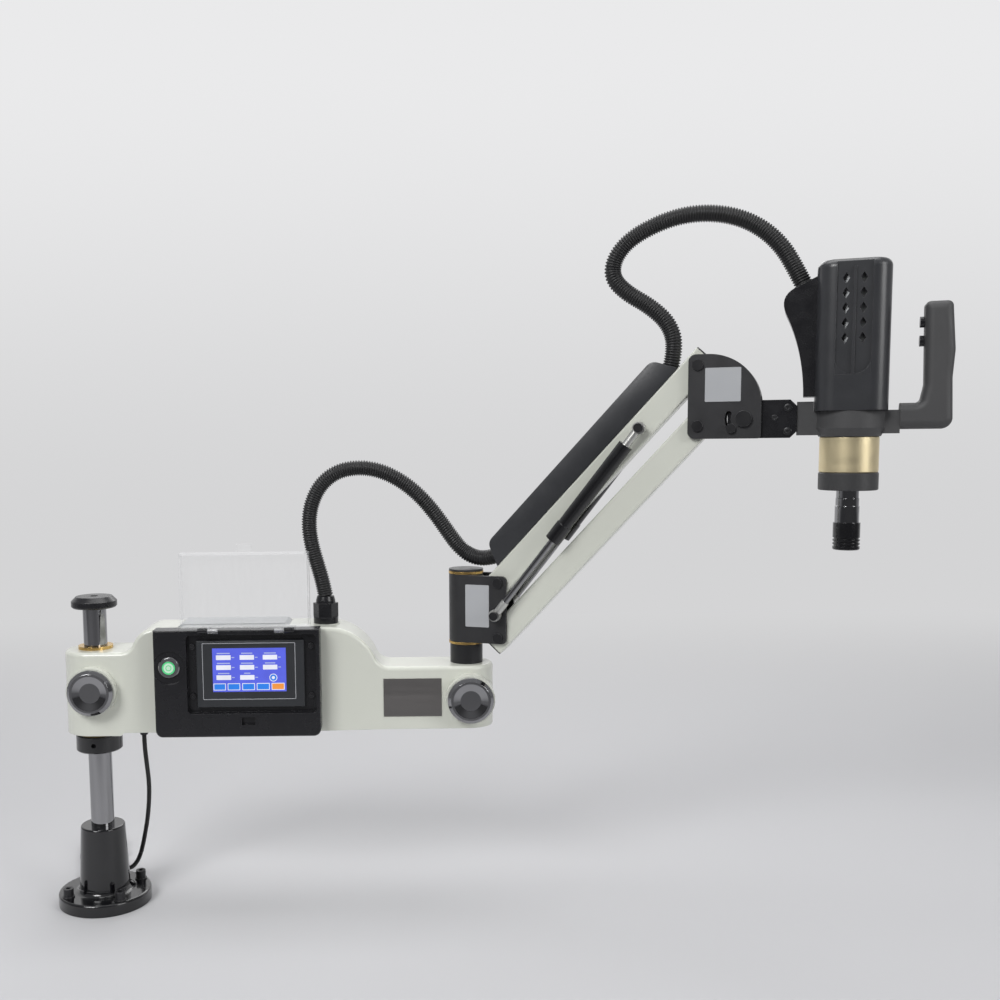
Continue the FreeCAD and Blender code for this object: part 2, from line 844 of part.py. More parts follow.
def casting_shape():
    depth = float(s.column_boss_dia)
    slab = Part.Face(casting_side()).extrude(Vector(0, 2 * depth, 0)).translated(Vector(0, -depth, 0))
    prism = Part.Face(casting_plan()).extrude(Vector(0, 0, 2 * float(s.box_top_level)))
    body = slab.common(prism)
    middle = float(s.casting_low_level + s.elbow_boss_top_level) / 2
    rim = []
    for edge in body.Edges:
        box = edge.BoundBox
        upright = box.XLength < 0.01 and box.YLength < 0.01
        across = box.YMin < -0.01 and box.YMax > 0.01
        if not upright and not across and box.ZMin > middle:
            rim.append(edge)
    return body.makeFillet(float(s.casting_edge), rim)


casting = feature("casting_blank", casting_shape())
gland_pad = rod("gland_pad", s.gland_pad_dia, s.casting_edge,
                (s.gland_along, 0, s.box_top_level - s.casting_edge))
column_knob_seat = rod("column_knob_seat", s.knob_seat_dia, s.knob_seat_reach,
                       (s.column_knob_along, 0, s.column_knob_level), "-y")
elbow_knob_seat = rod("elbow_knob_seat", s.knob_seat_dia, s.knob_seat_reach,
                      (s.elbow_knob_along, 0, s.elbow_knob_level), "-y")
through = s.box_top_level
casting_full = joined("casting_full", casting, gland_pad, column_knob_seat, elbow_knob_seat)
keep("lower_arm_casting", cut(
    "lower_arm_casting", casting_full,
    rod("relief_bore", s.column_relief_dia, through, (0, 0, s.casting_low_level - s.overrun)),
    rod("low_bush_bore", s.column_bush_dia + 2 * s.seat_gap, s.column_bush_long + s.overrun,
        (0, 0, s.casting_low_level - s.overrun)),
    rod("top_bush_bore", s.column_bush_dia + 2 * s.seat_gap, s.column_bush_long + s.overrun,
        (0, 0, s.column_boss_top_level - s.column_bush_long)),
    rod("shaft_bore", s.shaft_dia + 2 * s.seat_gap, through, (s.elbow_reach, 0, s.shaft_low_level)),
    rod("shaft_screw_hole", s.elbow_screw_dia + 2 * s.seat_gap, through,
        (s.elbow_reach, 0, s.casting_low_level - s.overrun)),
    rod("column_stem_hole", s.knob_stem_dia + 2 * s.run_gap, s.knob_seat_reach + s.overrun,
        (s.column_knob_along, 0, s.column_knob_level), "-y"),
    rod("elbow_stem_hole", s.knob_stem_dia + 2 * s.run_gap, s.knob_seat_reach + s.overrun,
        (s.elbow_knob_along, 0, s.elbow_knob_level), "-y"),
    block("bay", s.bay_right - s.bay_left, s.column_boss_dia, s.bay_top_level - s.bay_low_level,
          (s.bay_left, -s.column_boss_dia / 2 - s.bay_wall, s.bay_low_level)),
    rod("inlet_hole", s.inlet_dia + 2 * s.seat_gap, s.inlet_long, (s.inlet_along, s.inlet_away,
        s.casting_low_level - s.overrun)),
))

bushes = []
for name, level, along in (("low_bush", s.casting_low_level, "z"),
                           ("top_bush", s.column_boss_top_level, "-z")):
    bushes.append(turned(name, [
        (s.column_dia / 2 + s.run_gap, -s.column_bush_flange_thick),
        (s.column_bush_flange_dia / 2, -s.column_bush_flange_thick),
        (s.column_bush_flange_dia / 2, 0),
        (s.column_bush_dia / 2, 0),
        (s.column_bush_dia / 2, s.column_bush_long),
        (s.column_dia / 2 + s.run_gap, s.column_bush_long),
    ], (0, 0, level), along))
keep("column_bushes", group("column_bushes", bushes))

# Lock knobs: dished discs on threaded stems
for name, x, level, inner in (
        ("column_lock_knob", s.column_knob_along, s.column_knob_level, s.column_dia / 2),
        ("elbow_lock_knob", s.elbow_knob_along, s.elbow_knob_level, s.shaft_dia / 2)):
    front = s.knob_seat_reach + s.face_gap + s.knob_rim_thick
    keep(name, turned(name, [
        (0, inner + s.face_gap),
        (s.knob_stem_dia / 2, inner + s.face_gap),
        (s.knob_stem_dia / 2, s.knob_seat_reach + s.face_gap),
        (s.knob_dia / 2, s.knob_seat_reach + s.face_gap),
        (s.knob_dia / 2, front - s.knob_bevel),
        (s.knob_dia / 2 - s.knob_bevel, front),
        (s.knob_dish_dia / 2, front),
        (s.knob_hub_dia / 2, front - s.knob_dish_deep),
        (0, front - s.knob_dish_deep),
    ], (x, 0, level), "-y"))

# Control panel: a moulded cover over the electronics bay, with a well for the screen
panel = padded("panel_blank", "XZ", [
    (s.panel_left, s.panel_low_level),
    (s.panel_right, s.panel_low_level),
    (s.panel_right, s.panel_top_level),
    (s.panel_left, s.panel_top_level),
], s.panel_front - s.column_boss_dia / 2, back=s.column_boss_dia / 2)
dressed(panel, "Fillet", s.panel_corner,
        lambda e: straight_along("y")(e) and near(e.BoundBox.ZMin, s.panel_low_level))
dressed(panel, "Fillet", s.panel_edge,
        lambda e: near(e.BoundBox.YMin, -s.panel_front) and near(e.BoundBox.YMax, -s.panel_front))
well = padded("panel_well", "XZ", [
    (s.well_left, s.well_low_level),
    (s.well_right, s.well_low_level),
    (s.well_right, s.well_top_level),
    (s.well_left, s.well_top_level),
], s.well_deep + s.overrun, back=s.panel_front - s.well_deep)
dressed(well, "Fillet", s.well_corner, straight_along("y"))
panel_parts = [panel]
panel_screw_places = (s.well_left + s.panel_screw_in,
                      s.screen_right + s.panel_screw_in + s.panel_screw_in / 3)
knuckles = (s.cover_left + s.cover_knuckle_inset, s.cover_right - s.cover_knuckle_inset - s.cover_knuckle_wide)
for i, x in enumerate(knuckles):
    panel_parts.append(rod("panel_knuckle%d" % i, s.cover_knuckle_dia, s.cover_knuckle_wide,
                           (x, -s.cover_hinge_out, s.cover_hinge_level), "x"))
    panel_parts.append(block("panel_arm%d" % i, s.cover_knuckle_wide,
                             s.cover_hinge_out - s.column_boss_dia / 2, s.cover_knuckle_dia / 2,
                             (x, -s.cover_hinge_out, s.cover_hinge_level - s.cover_knuckle_dia / 2)))
screen_back = s.panel_front - s.well_deep
keep("control_panel", cut(
    "control_panel", joined("panel_full", *panel_parts), well,
    rod("lamp_well", s.lamp_well_dia, s.lamp_well_deep + s.overrun,
        (s.lamp_along, s.lamp_well_deep - s.panel_front, s.lamp_level), "-y"),
    rod("lamp_hole", s.lamp_body_dia + 2 * s.seat_gap, s.panel_front,
        (s.lamp_along, 0, s.lamp_level), "-y"),
    block("latch_pocket", s.latch_wide + 2 * s.face_gap, s.latch_deep + s.overrun,
          s.latch_high + 2 * s.face_gap,
          (s.latch_along - s.latch_wide / 2 - s.face_gap, -s.panel_front - s.overrun,
           s.latch_level - s.latch_high / 2 - s.face_gap)),
    *[rod("knuckle_bore%d" % i, s.cover_pin_dia + 2 * s.seat_gap, s.cover_knuckle_wide + 2 * s.overrun,
          (x - s.overrun, -s.cover_hinge_out, s.cover_hinge_level), "x") for i, x in enumerate(knuckles)],
    *[rod("panel_screw_hole%d%d" % (i, j), s.panel_screw_dia + 2 * s.seat_gap, s.panel_front,
          (x, 0, z), "-y")
      for i, x in enumerate(panel_screw_places)
      for j, z in enumerate((s.panel_screw_low_level, s.panel_screw_top_level))],
))

# Touch screen: a framed unit in the well, with its glass let into the front
screen_front = s.panel_front - s.well_deep + s.screen_proud
screen = padded("screen_blank", "XZ", [
    (s.screen_left, s.screen_low_level),
    (s.screen_right, s.screen_low_level),
    (s.screen_right, s.screen_top_level),
    (s.screen_left, s.screen_top_level),
], s.screen_proud, back=s.panel_front - s.well_deep)
dressed(screen, "Fillet", s.screen_edge,
        lambda e: near(e.BoundBox.YMin, -screen_front) and near(e.BoundBox.YMax, -screen_front))
keep("touch_screen", cut("touch_screen", screen, block(
    "window_pocket", s.window_right - s.window_left, s.window_deep + s.overrun,
    s.window_top_level - s.window_low_level,
    (s.window_left, -screen_front - s.overrun, s.window_low_level))))
keep("screen_glass", block(
    "screen_glass", s.window_right - s.window_left - 2 * s.seat_gap, s.window_thick,
    s.window_top_level - s.window_low_level - 2 * s.seat_gap,
    (s.window_left + s.seat_gap, s.window_deep - screen_front - s.window_thick,
     s.window_low_level + s.seat_gap)))

# Four black screws that hold the panel through the well's floor
keep("panel_screws", group("panel_screws", [
    socket_screw("panel_screw%d%d" % (i, j), s.panel_screw_head_dia, s.panel_screw_head_high,
                 s.panel_screw_dia, s.panel_screw_long, s.panel_screw_dia / 2,
                 s.panel_screw_head_high / 2, (x, s.well_deep - s.panel_front, z), "-y")
    for i, x in enumerate(panel_screw_places)
    for j, z in enumerate((s.panel_screw_low_level, s.panel_screw_top_level))]))

# Latch: a catch in the fascia that holds the cover's tab, with a U shaped clip below it
catch = block("catch_body", s.latch_wide, s.latch_deep, s.latch_high,
              (s.latch_along - s.latch_wide / 2, -s.panel_front, s.latch_level - s.latch_high / 2))
catch_mouth = block("catch_mouth", s.latch_wide - 2 * s.latch_wire, s.latch_deep,
                    s.latch_high - s.latch_wire,
                    (s.latch_along - s.latch_wide / 2 + s.latch_wire, -s.panel_front - s.latch_wire,
                     s.latch_level - s.latch_high / 2 + s.latch_wire))
keep("latch_catch", cut("latch_catch", catch, catch_mouth))

# Power button in its bright ring
ring_back = s.panel_front - s.lamp_well_deep
keep("button_ring", turned("button_ring", [
    (s.button_dia / 2 + s.run_gap, s.column_boss_dia / 2 - s.bay_wall),
    (s.lamp_body_dia / 2, s.column_boss_dia / 2 - s.bay_wall),
    (s.lamp_body_dia / 2, ring_back),
    (s.lamp_dia / 2, ring_back),
    (s.lamp_dia / 2, ring_back + s.lamp_ring_proud / 2),
    (s.lamp_dia / 2 - s.lamp_ring_proud / 2, ring_back + s.lamp_ring_proud),
    (s.button_dia / 2 + s.run_gap, ring_back + s.lamp_ring_proud),
], (s.lamp_along, 0, s.lamp_level), "-y"))
keep("power_button", turned("power_button", [
    (0, ring_back - s.button_long),
    (s.button_dia / 2, ring_back - s.button_long),
    (s.button_dia / 2, ring_back + s.button_proud),
    (s.button_dia / 2 - s.button_proud / 2, ring_back + s.lamp_ring_proud + s.button_proud / 2),
    (0, ring_back + s.lamp_ring_proud + s.button_proud / 2),
], (s.lamp_along, 0, s.lamp_level), "-y"))

# Clear cover: a moulded tray that stands open above the panel on two hinge pins
cover_low = s.cover_hinge_level + s.cover_clear
cover_rim = 2 * s.cover_hinge_out - s.panel_front - s.loose_gap
cover_back = cover_rim - s.cover_tray
tray = block("cover_tray", s.cover_wide, s.cover_tray, s.cover_high, (s.cover_left, -cover_rim, cover_low))
tray_inside = block("cover_inside", s.cover_wide - 2 * s.cover_wall, s.cover_tray,
                    s.cover_high - 2 * s.cover_wall,
                    (s.cover_left + s.cover_wall, -cover_rim - s.cover_wall, cover_low + s.cover_wall))
tab = block("cover_tab", s.cover_tab_wide, s.cover_tab_thick, s.cover_tab_high + s.cover_wall,
            (s.latch_along - s.cover_tab_wide / 2, -cover_back - s.cover_tab_thick,
             cover_low + s.cover_high - s.cover_wall))
cover_parts = [cut("cover_shell", tray, tray_inside), tab]
lug_places = [knuckles[0] + s.cover_knuckle_wide + s.face_gap,
              knuckles[1] - s.cover_knuckle_wide - s.face_gap]
for i, x in enumerate(lug_places):
    cover_parts.append(rod("cover_lug%d" % i, s.cover_knuckle_dia, s.cover_knuckle_wide,
                           (x, -s.cover_hinge_out, s.cover_hinge_level), "x"))
    cover_parts.append(block("cover_strap%d" % i, s.cover_knuckle_wide, s.cover_wall,
                             s.cover_clear + s.cover_wall,
                             (x, -s.cover_hinge_out - s.cover_wall / 2, s.cover_hinge_level)))
keep("clear_cover", cut("clear_cover", joined("cover_full", *cover_parts), *[
    rod("lug_bore%d" % i, s.cover_pin_dia + 2 * s.run_gap, s.cover_knuckle_wide + 2 * s.overrun,
        (x - s.overrun, -s.cover_hinge_out, s.cover_hinge_level), "x") for i, x in enumerate(lug_places)]))
pin_starts = (knuckles[0], lug_places[1])
keep("cover_hinge_pins", group("cover_hinge_pins", [
    rod("cover_pin%d" % i, s.cover_pin_dia, 2 * s.cover_knuckle_wide + s.face_gap,
        (x, -s.cover_hinge_out, s.cover_hinge_level), "x") for i, x in enumerate(pin_starts)]))

# Access plate, name plate, servo driver, cord inlet and hose gland
lid = padded("access_plate", "XZ", [
    (s.lid_left, s.box_top_level),
    (s.lid_right, s.box_top_level),
    (s.lid_right - s.lid_slope, s.box_top_level + s.lid_thick),
    (s.lid_left + s.lid_slope, s.box_top_level + s.lid_thick),
], s.lid_depth, middle=True)
keep("access_plate", lid)
plate_front = s.elbow_boss_dia / 2
keep("nameplate", block("nameplate", s.plate_right - s.plate_left, s.plate_thick,
                        s.plate_top_level - s.plate_low_level,
                        (s.plate_left, -plate_front - s.plate_thick, s.plate_low_level)))
driver_back = s.column_boss_dia / 2 - s.bay_wall
keep("servo_driver", block("servo_driver", s.driver_long, s.driver_deep, s.driver_high,
                           (s.driver_left, driver_back - s.driver_deep, s.bay_low_level)))
inlet_level = s.casting_low_level + s.casting_under_step
keep("cord_inlet", turned("cord_inlet", [
    (0, -s.inlet_long),
    (s.inlet_nose_dia / 2, -s.inlet_long),
    (s.inlet_flange_dia / 2, -s.inlet_flange_thick),
    (s.inlet_flange_dia / 2, 0),
    (s.inlet_dia / 2, 0),
    (s.inlet_dia / 2, s.inlet_flange_thick),
    (0, s.inlet_flange_thick),
], (s.inlet_along, s.inlet_away, inlet_level)))
gland_nut_top = s.gland_flange_thick + s.gland_nut_high
gland_top = gland_nut_top + s.gland_neck_high + s.gland_dome_high
gland_body = turned("gland_body", [
    (s.hose_bore_dia / 2, 0),
    (s.gland_flange_dia / 2, 0),
    (s.gland_flange_dia / 2, s.gland_flange_thick),
    (s.gland_dome_dia / 2, s.gland_flange_thick),
    (s.gland_dome_dia / 2, gland_nut_top + s.gland_neck_high),
    (s.gland_dome_dia / 2 - s.gland_neck_high / 2, gland_top),
    (s.hose_bore_dia / 2, gland_top),
])
gland_nut = hexagon("gland_nut", s.gland_nut_flats, s.gland_nut_high, (0, 0, s.gland_flange_thick))
gland_bore = rod("gland_bore", s.hose_bore_dia, gland_top)
keep("hose_gland", place(joined("hose_gland", gland_body, cut("gland_hex", gland_nut, gland_bore)),
                         (s.gland_along, 0, s.box_top_level)))

# Elbow: the shaft stands in the casting, the hub turns on it between two bronze flanges
hub_low = s.post_top_level + s.face_gap + s.elbow_bush_flange_thick
shaft_top = s.hub_top_level + s.elbow_bush_flange_thick + s.face_gap
keep("elbow_shaft", cut(
    "elbow_shaft",
    rod("shaft_bar", s.shaft_dia, shaft_top - s.shaft_low_level, (s.elbow_reach, 0, s.shaft_low_level)),
    rod("shaft_top_hole", s.elbow_screw_dia, s.elbow_screw_long + s.overrun,
        (s.elbow_reach, 0, shaft_top - s.elbow_screw_long)),
    rod("shaft_low_hole", s.elbow_screw_dia, s.elbow_screw_long,
        (s.elbow_reach, 0, s.shaft_low_level - s.overrun))))
keep("elbow_post", cut(
    "elbow_post",
    rod("post_bar", s.post_dia, s.post_top_level - s.elbow_boss_top_level,
        (s.elbow_reach, 0, s.elbow_boss_top_level)),
    rod("post_bore", s.shaft_dia + 2 * s.seat_gap, s.post_top_level,
        (s.elbow_reach, 0, s.elbow_boss_top_level - s.overrun))))
keep("elbow_cap", turned("elbow_cap", [
    (s.elbow_screw_dia / 2 + s.run_gap, 0),
    (s.elbow_cap_dia / 2, 0),
    (s.elbow_cap_dia / 2, s.elbow_cap_thick),
    (s.elbow_screw_head_dia / 2 + s.run_gap, s.elbow_cap_thick),
], (s.elbow_reach, 0, shaft_top)))
top_screw = turned("elbow_top_screw", [
    (0, -s.elbow_screw_long + s.elbow_cap_thick),
    (s.elbow_screw_dia / 2, -s.elbow_screw_long + s.elbow_cap_thick),
    (s.elbow_screw_dia / 2, 0),
    (s.elbow_screw_head_dia / 2, s.elbow_cap_thick),
    (0, s.elbow_cap_thick),
], (s.elbow_reach, 0, shaft_top))
low_screw_reach = s.shaft_low_level - inlet_level + s.elbow_screw_long / 2
low_screw = socket_screw("elbow_low_screw", s.elbow_screw_head_dia, s.elbow_screw_head_high,
                         s.elbow_screw_dia,
                         low_screw_reach, s.elbow_screw_dia / 2, s.elbow_screw_head_high / 2,
                         (s.elbow_reach, 0, inlet_level), "-z")
keep("elbow_end_screws", group("elbow_end_screws", [top_screw, low_screw]))

# Frames of the upper arm: swung about the elbow, then raised for its two links
ARM = Placement(Vector(float(s.elbow_reach), 0, 0), Rotation(Vector(0, 0, 1), -float(s.swing_angle)))
upper_pivot_level = s.lower_pivot_level + s.pivot_spacing
raised = Rotation(Vector(0, 1, 0), -float(s.lift_angle))
LOWER_BAR = ARM * Placement(Vector(float(s.rear_pivot_out), 0, float(s.lower_pivot_level)), raised)
UPPER_BAR = ARM * Placement(Vector(float(s.rear_pivot_out), 0, float(upper_pivot_level)), raised)

cheek_outside = s.cheek_gap / 2 + s.cheek_thick
cheeks = []
for i, side in enumerate((s.cheek_gap / 2, -cheek_outside)):
    cheek = padded("cheek%d" % i, "XZ", [
        (0, s.cheek_low_level + s.face_gap + s.elbow_bush_flange_thick / 2),
        (s.cheek_out, s.cheek_low_level + s.face_gap + s.elbow_bush_flange_thick / 2),
        (s.cheek_out, s.cheek_top_level),
        (0, s.cheek_top_level),
    ], s.cheek_thick, back=side)
    dressed(cheek, "Fillet", s.cheek_corner,
            lambda e: straight_along("y")(e) and near(e.BoundBox.XMax, s.cheek_out))
    cheeks.append(cheek)
rear_pivots = ((s.rear_pivot_out, s.lower_pivot_level), (s.rear_pivot_out, upper_pivot_level))
cross = 2 * cheek_outside + 2 * s.overrun
keep("elbow_bracket", cut(
    "elbow_bracket",
    joined("elbow_frame", rod("elbow_hub", s.hub_dia, s.hub_top_level - hub_low, (0, 0, hub_low)), *cheeks),
    rod("hub_bore", s.shaft_dia + 2 * s.loose_gap, s.hub_top_level, (0, 0, hub_low - s.overrun)),
    rod("hub_low_seat", s.elbow_bush_dia + 2 * s.seat_gap, s.elbow_bush_long + s.overrun,
        (0, 0, hub_low - s.overrun)),
    rod("hub_top_seat", s.elbow_bush_dia + 2 * s.seat_gap, s.elbow_bush_long + s.overrun,
        (0, 0, s.hub_top_level - s.elbow_bush_long)),
    *[rod("rear_pivot_hole%d" % i, s.pivot_pin_dia + 2 * s.seat_gap, cross,
          (x, -cross / 2, z), "y") for i, (x, z) in enumerate(rear_pivots)],
    rod("spring_foot_hole", s.spring_pin_dia + 2 * s.seat_gap, cross,
        (s.spring_foot_out, -cross / 2, s.spring_foot_level), "y"),
), ARM)

elbow_bushes = []
for name, level, along in (("elbow_low_bush", hub_low, "z"), ("elbow_top_bush", s.hub_top_level, "-z")):
    elbow_bushes.append(turned(name, [
        (s.shaft_dia / 2 + s.run_gap, -s.elbow_bush_flange_thick),
        (s.elbow_bush_flange_dia / 2, -s.elbow_bush_flange_thick),
        (s.elbow_bush_flange_dia / 2, 0),
        (s.elbow_bush_dia / 2, 0),
        (s.elbow_bush_dia / 2, s.elbow_bush_long),
        (s.shaft_dia / 2 + s.run_gap, s.elbow_bush_long),
    ], (0, 0, level), along))
keep("elbow_bushes", group("elbow_bushes", elbow_bushes), ARM)


def headed_pin(name, dia, head_dia, head_thick, outside, x, z):
    """A pin across the arm with a flat head on each side, bearing on faces `outside` out."""
    return turned(name, [
        (0, -outside - head_thick),
        (head_dia / 2, -outside - head_thick),
        (head_dia / 2, -outside),
        (dia / 2, -outside),
        (dia / 2, outside),
        (head_dia / 2, outside),
        (head_dia / 2, outside + head_thick),
        (0, outside + head_thick),
    ], (x, 0, z), "y")


def spring_pins(name, inside, wall, x, z):
    """One pin each side that carries a gas spring's eye clear of the bracket or the bar."""
    eye_inside = s.spring_side - s.spring_eye_wide / 2 - s.face_gap
    eye_outside = s.spring_side + s.spring_eye_wide / 2 + s.face_gap
    pins = []
    for i, along in enumerate(("y", "-y")):
        pins.append(turned("%s%d" % (name, i), [
            (0, inside),
            (s.spring_pin_dia / 2, inside),
            (s.spring_pin_dia / 2, wall),
            (s.spring_neck_dia / 2, wall),
            (s.spring_neck_dia / 2, eye_inside),
            (s.spring_pin_dia / 2, eye_inside),
            (s.spring_pin_dia / 2, eye_outside),
            (s.spring_pin_head_dia / 2, eye_outside),
            (s.spring_pin_head_dia / 2, eye_outside + s.spring_pin_head_thick),
            (0, eye_outside + s.spring_pin_head_thick),
        ], (x, 0, z), along))
    return group(name, pins)


keep("rear_pivot_pins", group("rear_pivot_pins", [
    headed_pin("rear_pivot_pin%d" % i, s.pivot_pin_dia, s.pivot_head_dia, s.pivot_head_thick, cheek_outside,
               x, z)
    for i, (x, z) in enumerate(rear_pivots)]), ARM)
keep("spring_lower_pins", spring_pins("spring_lower_pins", s.cheek_gap / 2, cheek_outside,
                                      s.spring_foot_out, s.spring_foot_level), ARM)


def link_bar(name, extra_gap, cross_holes=()):
    """A square tube with a sleeve at each pivot; extra_gap opens its front pivot."""
    long = s.link_long + 2 * s.bar_over
    tube = padded(name + "_tube", "XZ", [
        (-s.bar_over, -s.bar_high / 2),
        (s.link_long + s.bar_over, -s.bar_high / 2),
        (s.link_long + s.bar_over, s.bar_high / 2),
        (-s.bar_over, s.bar_high / 2),
    ], s.bar_wide, middle=True)
    dressed(tube, "Fillet", s.bar_edge, straight_along("x"))
    inside = block(name + "_inside", long + 2 * s.overrun, s.bar_wide - 2 * s.bar_wall,
                   s.bar_high - 2 * s.bar_wall,
                   (-s.bar_over - s.overrun, -s.bar_wide / 2 + s.bar_wall, -s.bar_high / 2 + s.bar_wall))
    pivots = (Size(0, "0"), s.link_long)
    sleeves = [rod("%s_sleeve%d" % (name, i), s.pivot_pin_dia + 2 * s.bar_wall, s.bar_wide,
                   (x, -s.bar_wide / 2, 0), "y") for i, x in enumerate(pivots)]
    gaps = (2 * s.run_gap, 2 * s.run_gap + extra_gap)
    bores = [rod("%s_bore%d" % (name, i), s.pivot_pin_dia + gap, s.bar_wide + 2 * s.overrun,
                 (x, -s.bar_wide / 2 - s.overrun, 0), "y") for i, (x, gap) in enumerate(zip(pivots, gaps))]
    return cut(name, joined(name + "_full", cut(name + "_hollow", tube, inside), *sleeves), *bores,
               *cross_holes)


spring_hole = rod("spring_head_hole", s.spring_pin_dia + 2 * s.seat_gap, s.bar_wide + 2 * s.overrun,
                  (s.spring_head_along, -s.bar_wide / 2 - s.overrun, 0), "y")
keep("lower_bar", link_bar("lower_bar", 2 * s.face_gap), LOWER_BAR)
keep("upper_bar", link_bar("upper_bar", 0 * s.face_gap, [spring_hole]), UPPER_BAR)
keep("spring_upper_pins", spring_pins("spring_upper_pins", s.bar_wide / 2 - s.bar_wall, s.bar_wide / 2,
                                      s.spring_head_along, 0), UPPER_BAR)

# Cable duct: a folded channel with sloped ends on the upper bar
duct_low = s.bar_high / 2
duct_top = duct_low + s.duct_high
duct = padded("duct_blank", "XZ", [
    (s.duct_foot_start, duct_low),
    (s.duct_foot_end, duct_low),
    (s.duct_top_end, duct_top),
    (s.duct_top_start, duct_top),
], s.bar_wide, middle=True)
dressed(duct, "Chamfer", s.duct_bevel, lambda e: straight_along("x")(e) and near(e.BoundBox.ZMin, duct_top))
duct_inside = padded("duct_inside", "XZ", [
    (s.duct_foot_start + s.duct_wall, duct_low - s.overrun),
    (s.duct_foot_end - s.duct_wall, duct_low - s.overrun),
    (s.duct_foot_end - s.duct_wall, duct_low),
    (s.duct_top_end - s.duct_wall, duct_top - s.duct_wall),
    (s.duct_top_start + s.duct_wall, duct_top - s.duct_wall),
    (s.duct_foot_start + s.duct_wall, duct_low),
], s.bar_wide - 2 * s.duct_wall, middle=True)
dressed(duct_inside, "Chamfer", s.duct_bevel - s.duct_wall,
        lambda e: straight_along("x")(e) and near(e.BoundBox.ZMin, duct_top - s.duct_wall))
keep("cable_duct", cut("cable_duct", duct, duct_inside), UPPER_BAR)

# Gas springs: a rod on the bracket and a cylinder on the upper bar, one on each side
foot = Vector(float(s.spring_foot_out), 0, float(s.spring_foot_level))
head = Vector(float(s.rear_pivot_out + s.spring_head_along * s.lift_angle.cos()), 0,
              float(upper_pivot_level + s.spring_head_along * s.lift_angle.sin()))
spring_line = Size((head - foot).Length, repr((head - foot).Length))
SPRING = ARM * Placement(foot, Rotation(Vector(1, 0, 0), head - foot))
rods, tubes = [], []
for i, side in enumerate((s.spring_side, -s.spring_side)):
    eye = s.spring_eye_wide / 2
    neck_clear = s.spring_pin_head_dia / 2 + s.face_gap
    rods.append(cut(
        "gas_rod%d" % i,
        joined("gas_rod_full%d" % i,
               rod("rod_eye%d" % i, s.spring_eye_dia, s.spring_eye_wide, (0, side - eye, 0), "y"),
               rod("rod_neck%d" % i, s.spring_neck_dia, s.spring_neck_long - neck_clear,
                   (neck_clear, side, 0), "x"),
               rod("rod_bar%d" % i, s.spring_rod_dia, s.spring_rod_long, (0, side, 0), "x")),
        rod("rod_eye_bore%d" % i, s.spring_pin_dia + 2 * s.run_gap, s.spring_eye_wide + 2 * s.overrun,
            (0, side - eye - s.overrun, 0), "y")))
    tube_end = s.spring_tube_start + s.spring_tube_long
    tubes.append(cut(
        "gas_tube%d" % i,
        joined("gas_tube_full%d" % i,
               rod("tube_wall%d" % i, s.spring_tube_dia, s.spring_tube_long, (s.spring_tube_start, side, 0),
                   "x"),
               rod("tube_collar%d" % i, s.spring_collar_dia, s.spring_collar_long,
                   (s.spring_tube_start, side, 0), "x"),
               rod("tube_neck%d" % i, s.spring_neck_dia, spring_line - tube_end - neck_clear,
                   (tube_end, side, 0), "x"),
               rod("tube_eye%d" % i, s.spring_eye_dia, s.spring_eye_wide,
                   (spring_line, side - eye, 0), "y")),
        rod("tube_bore%d" % i, s.spring_bore_dia, s.spring_tube_long - s.spring_blind + s.overrun,
            (s.spring_tube_start - s.overrun, side, 0), "x"),
        rod("tube_eye_bore%d" % i, s.spring_pin_dia + 2 * s.run_gap, s.spring_eye_wide + 2 * s.overrun,
            (spring_line, side - eye - s.overrun, 0), "y")))
keep("spring_rods", group("spring_rods", rods), SPRING)
keep("spring_cylinders", group("spring_cylinders", tubes), SPRING)

# Front bracket: two plates that the links keep level, a curved cover between them
front_pivots = ((s.front_pivot_out, s.front_low), (s.front_pivot_out, s.front_low + s.pivot_spacing))
plate_left = s.front_pivot_out - s.front_plate_back
plate_low = s.front_low - s.front_plate_under
plate_right = plate_left + s.front_plate_wide
plate_top = s.front_plate_top_level
arc_centre = (plate_right - s.front_plate_arc, plate_top - s.front_plate_arc)


def bracket_outline():
    low_left = Vector(float(plate_left), 0, float(plate_low))
    low_right = Vector(float(plate_right), 0, float(plate_low))
    top_left = Vector(float(plate_left), 0, float(plate_top))
    top_right = Vector(float(plate_right), 0, float(plate_top))
    corner = float(s.front_plate_corner)
    return rounded([low_left, low_right, top_right, top_left],
                   [corner, corner / 2, float(s.front_plate_arc), corner])


def arc_slot(centre, radius, start, end, wide, deep):
    """A curved slot through Y: start and end are angles in degrees, end less than start."""
    def at(angle, out):
        turn = math.radians(angle)
        return Vector(centre[0] + out * math.cos(turn), 0, centre[1] + out * math.sin(turn))

    half = wide / 2
    middle = (start + end) / 2
    cap = math.degrees(half / radius)
    edges = [Part.Arc(at(start, radius + half), at(middle, radius + half), at(end, radius + half)),
             Part.Arc(at(end, radius + half), at(end - cap, radius), at(end, radius - half)),
             Part.Arc(at(end, radius - half), at(middle, radius - half), at(start, radius - half)),
             Part.Arc(at(start, radius - half), at(start + cap, radius), at(start, radius + half))]
    face = Part.Face(Part.Wire([edge.toShape() for edge in edges]))
    return face.extrude(Vector(0, 2 * deep, 0)).translated(Vector(0, -deep, 0))


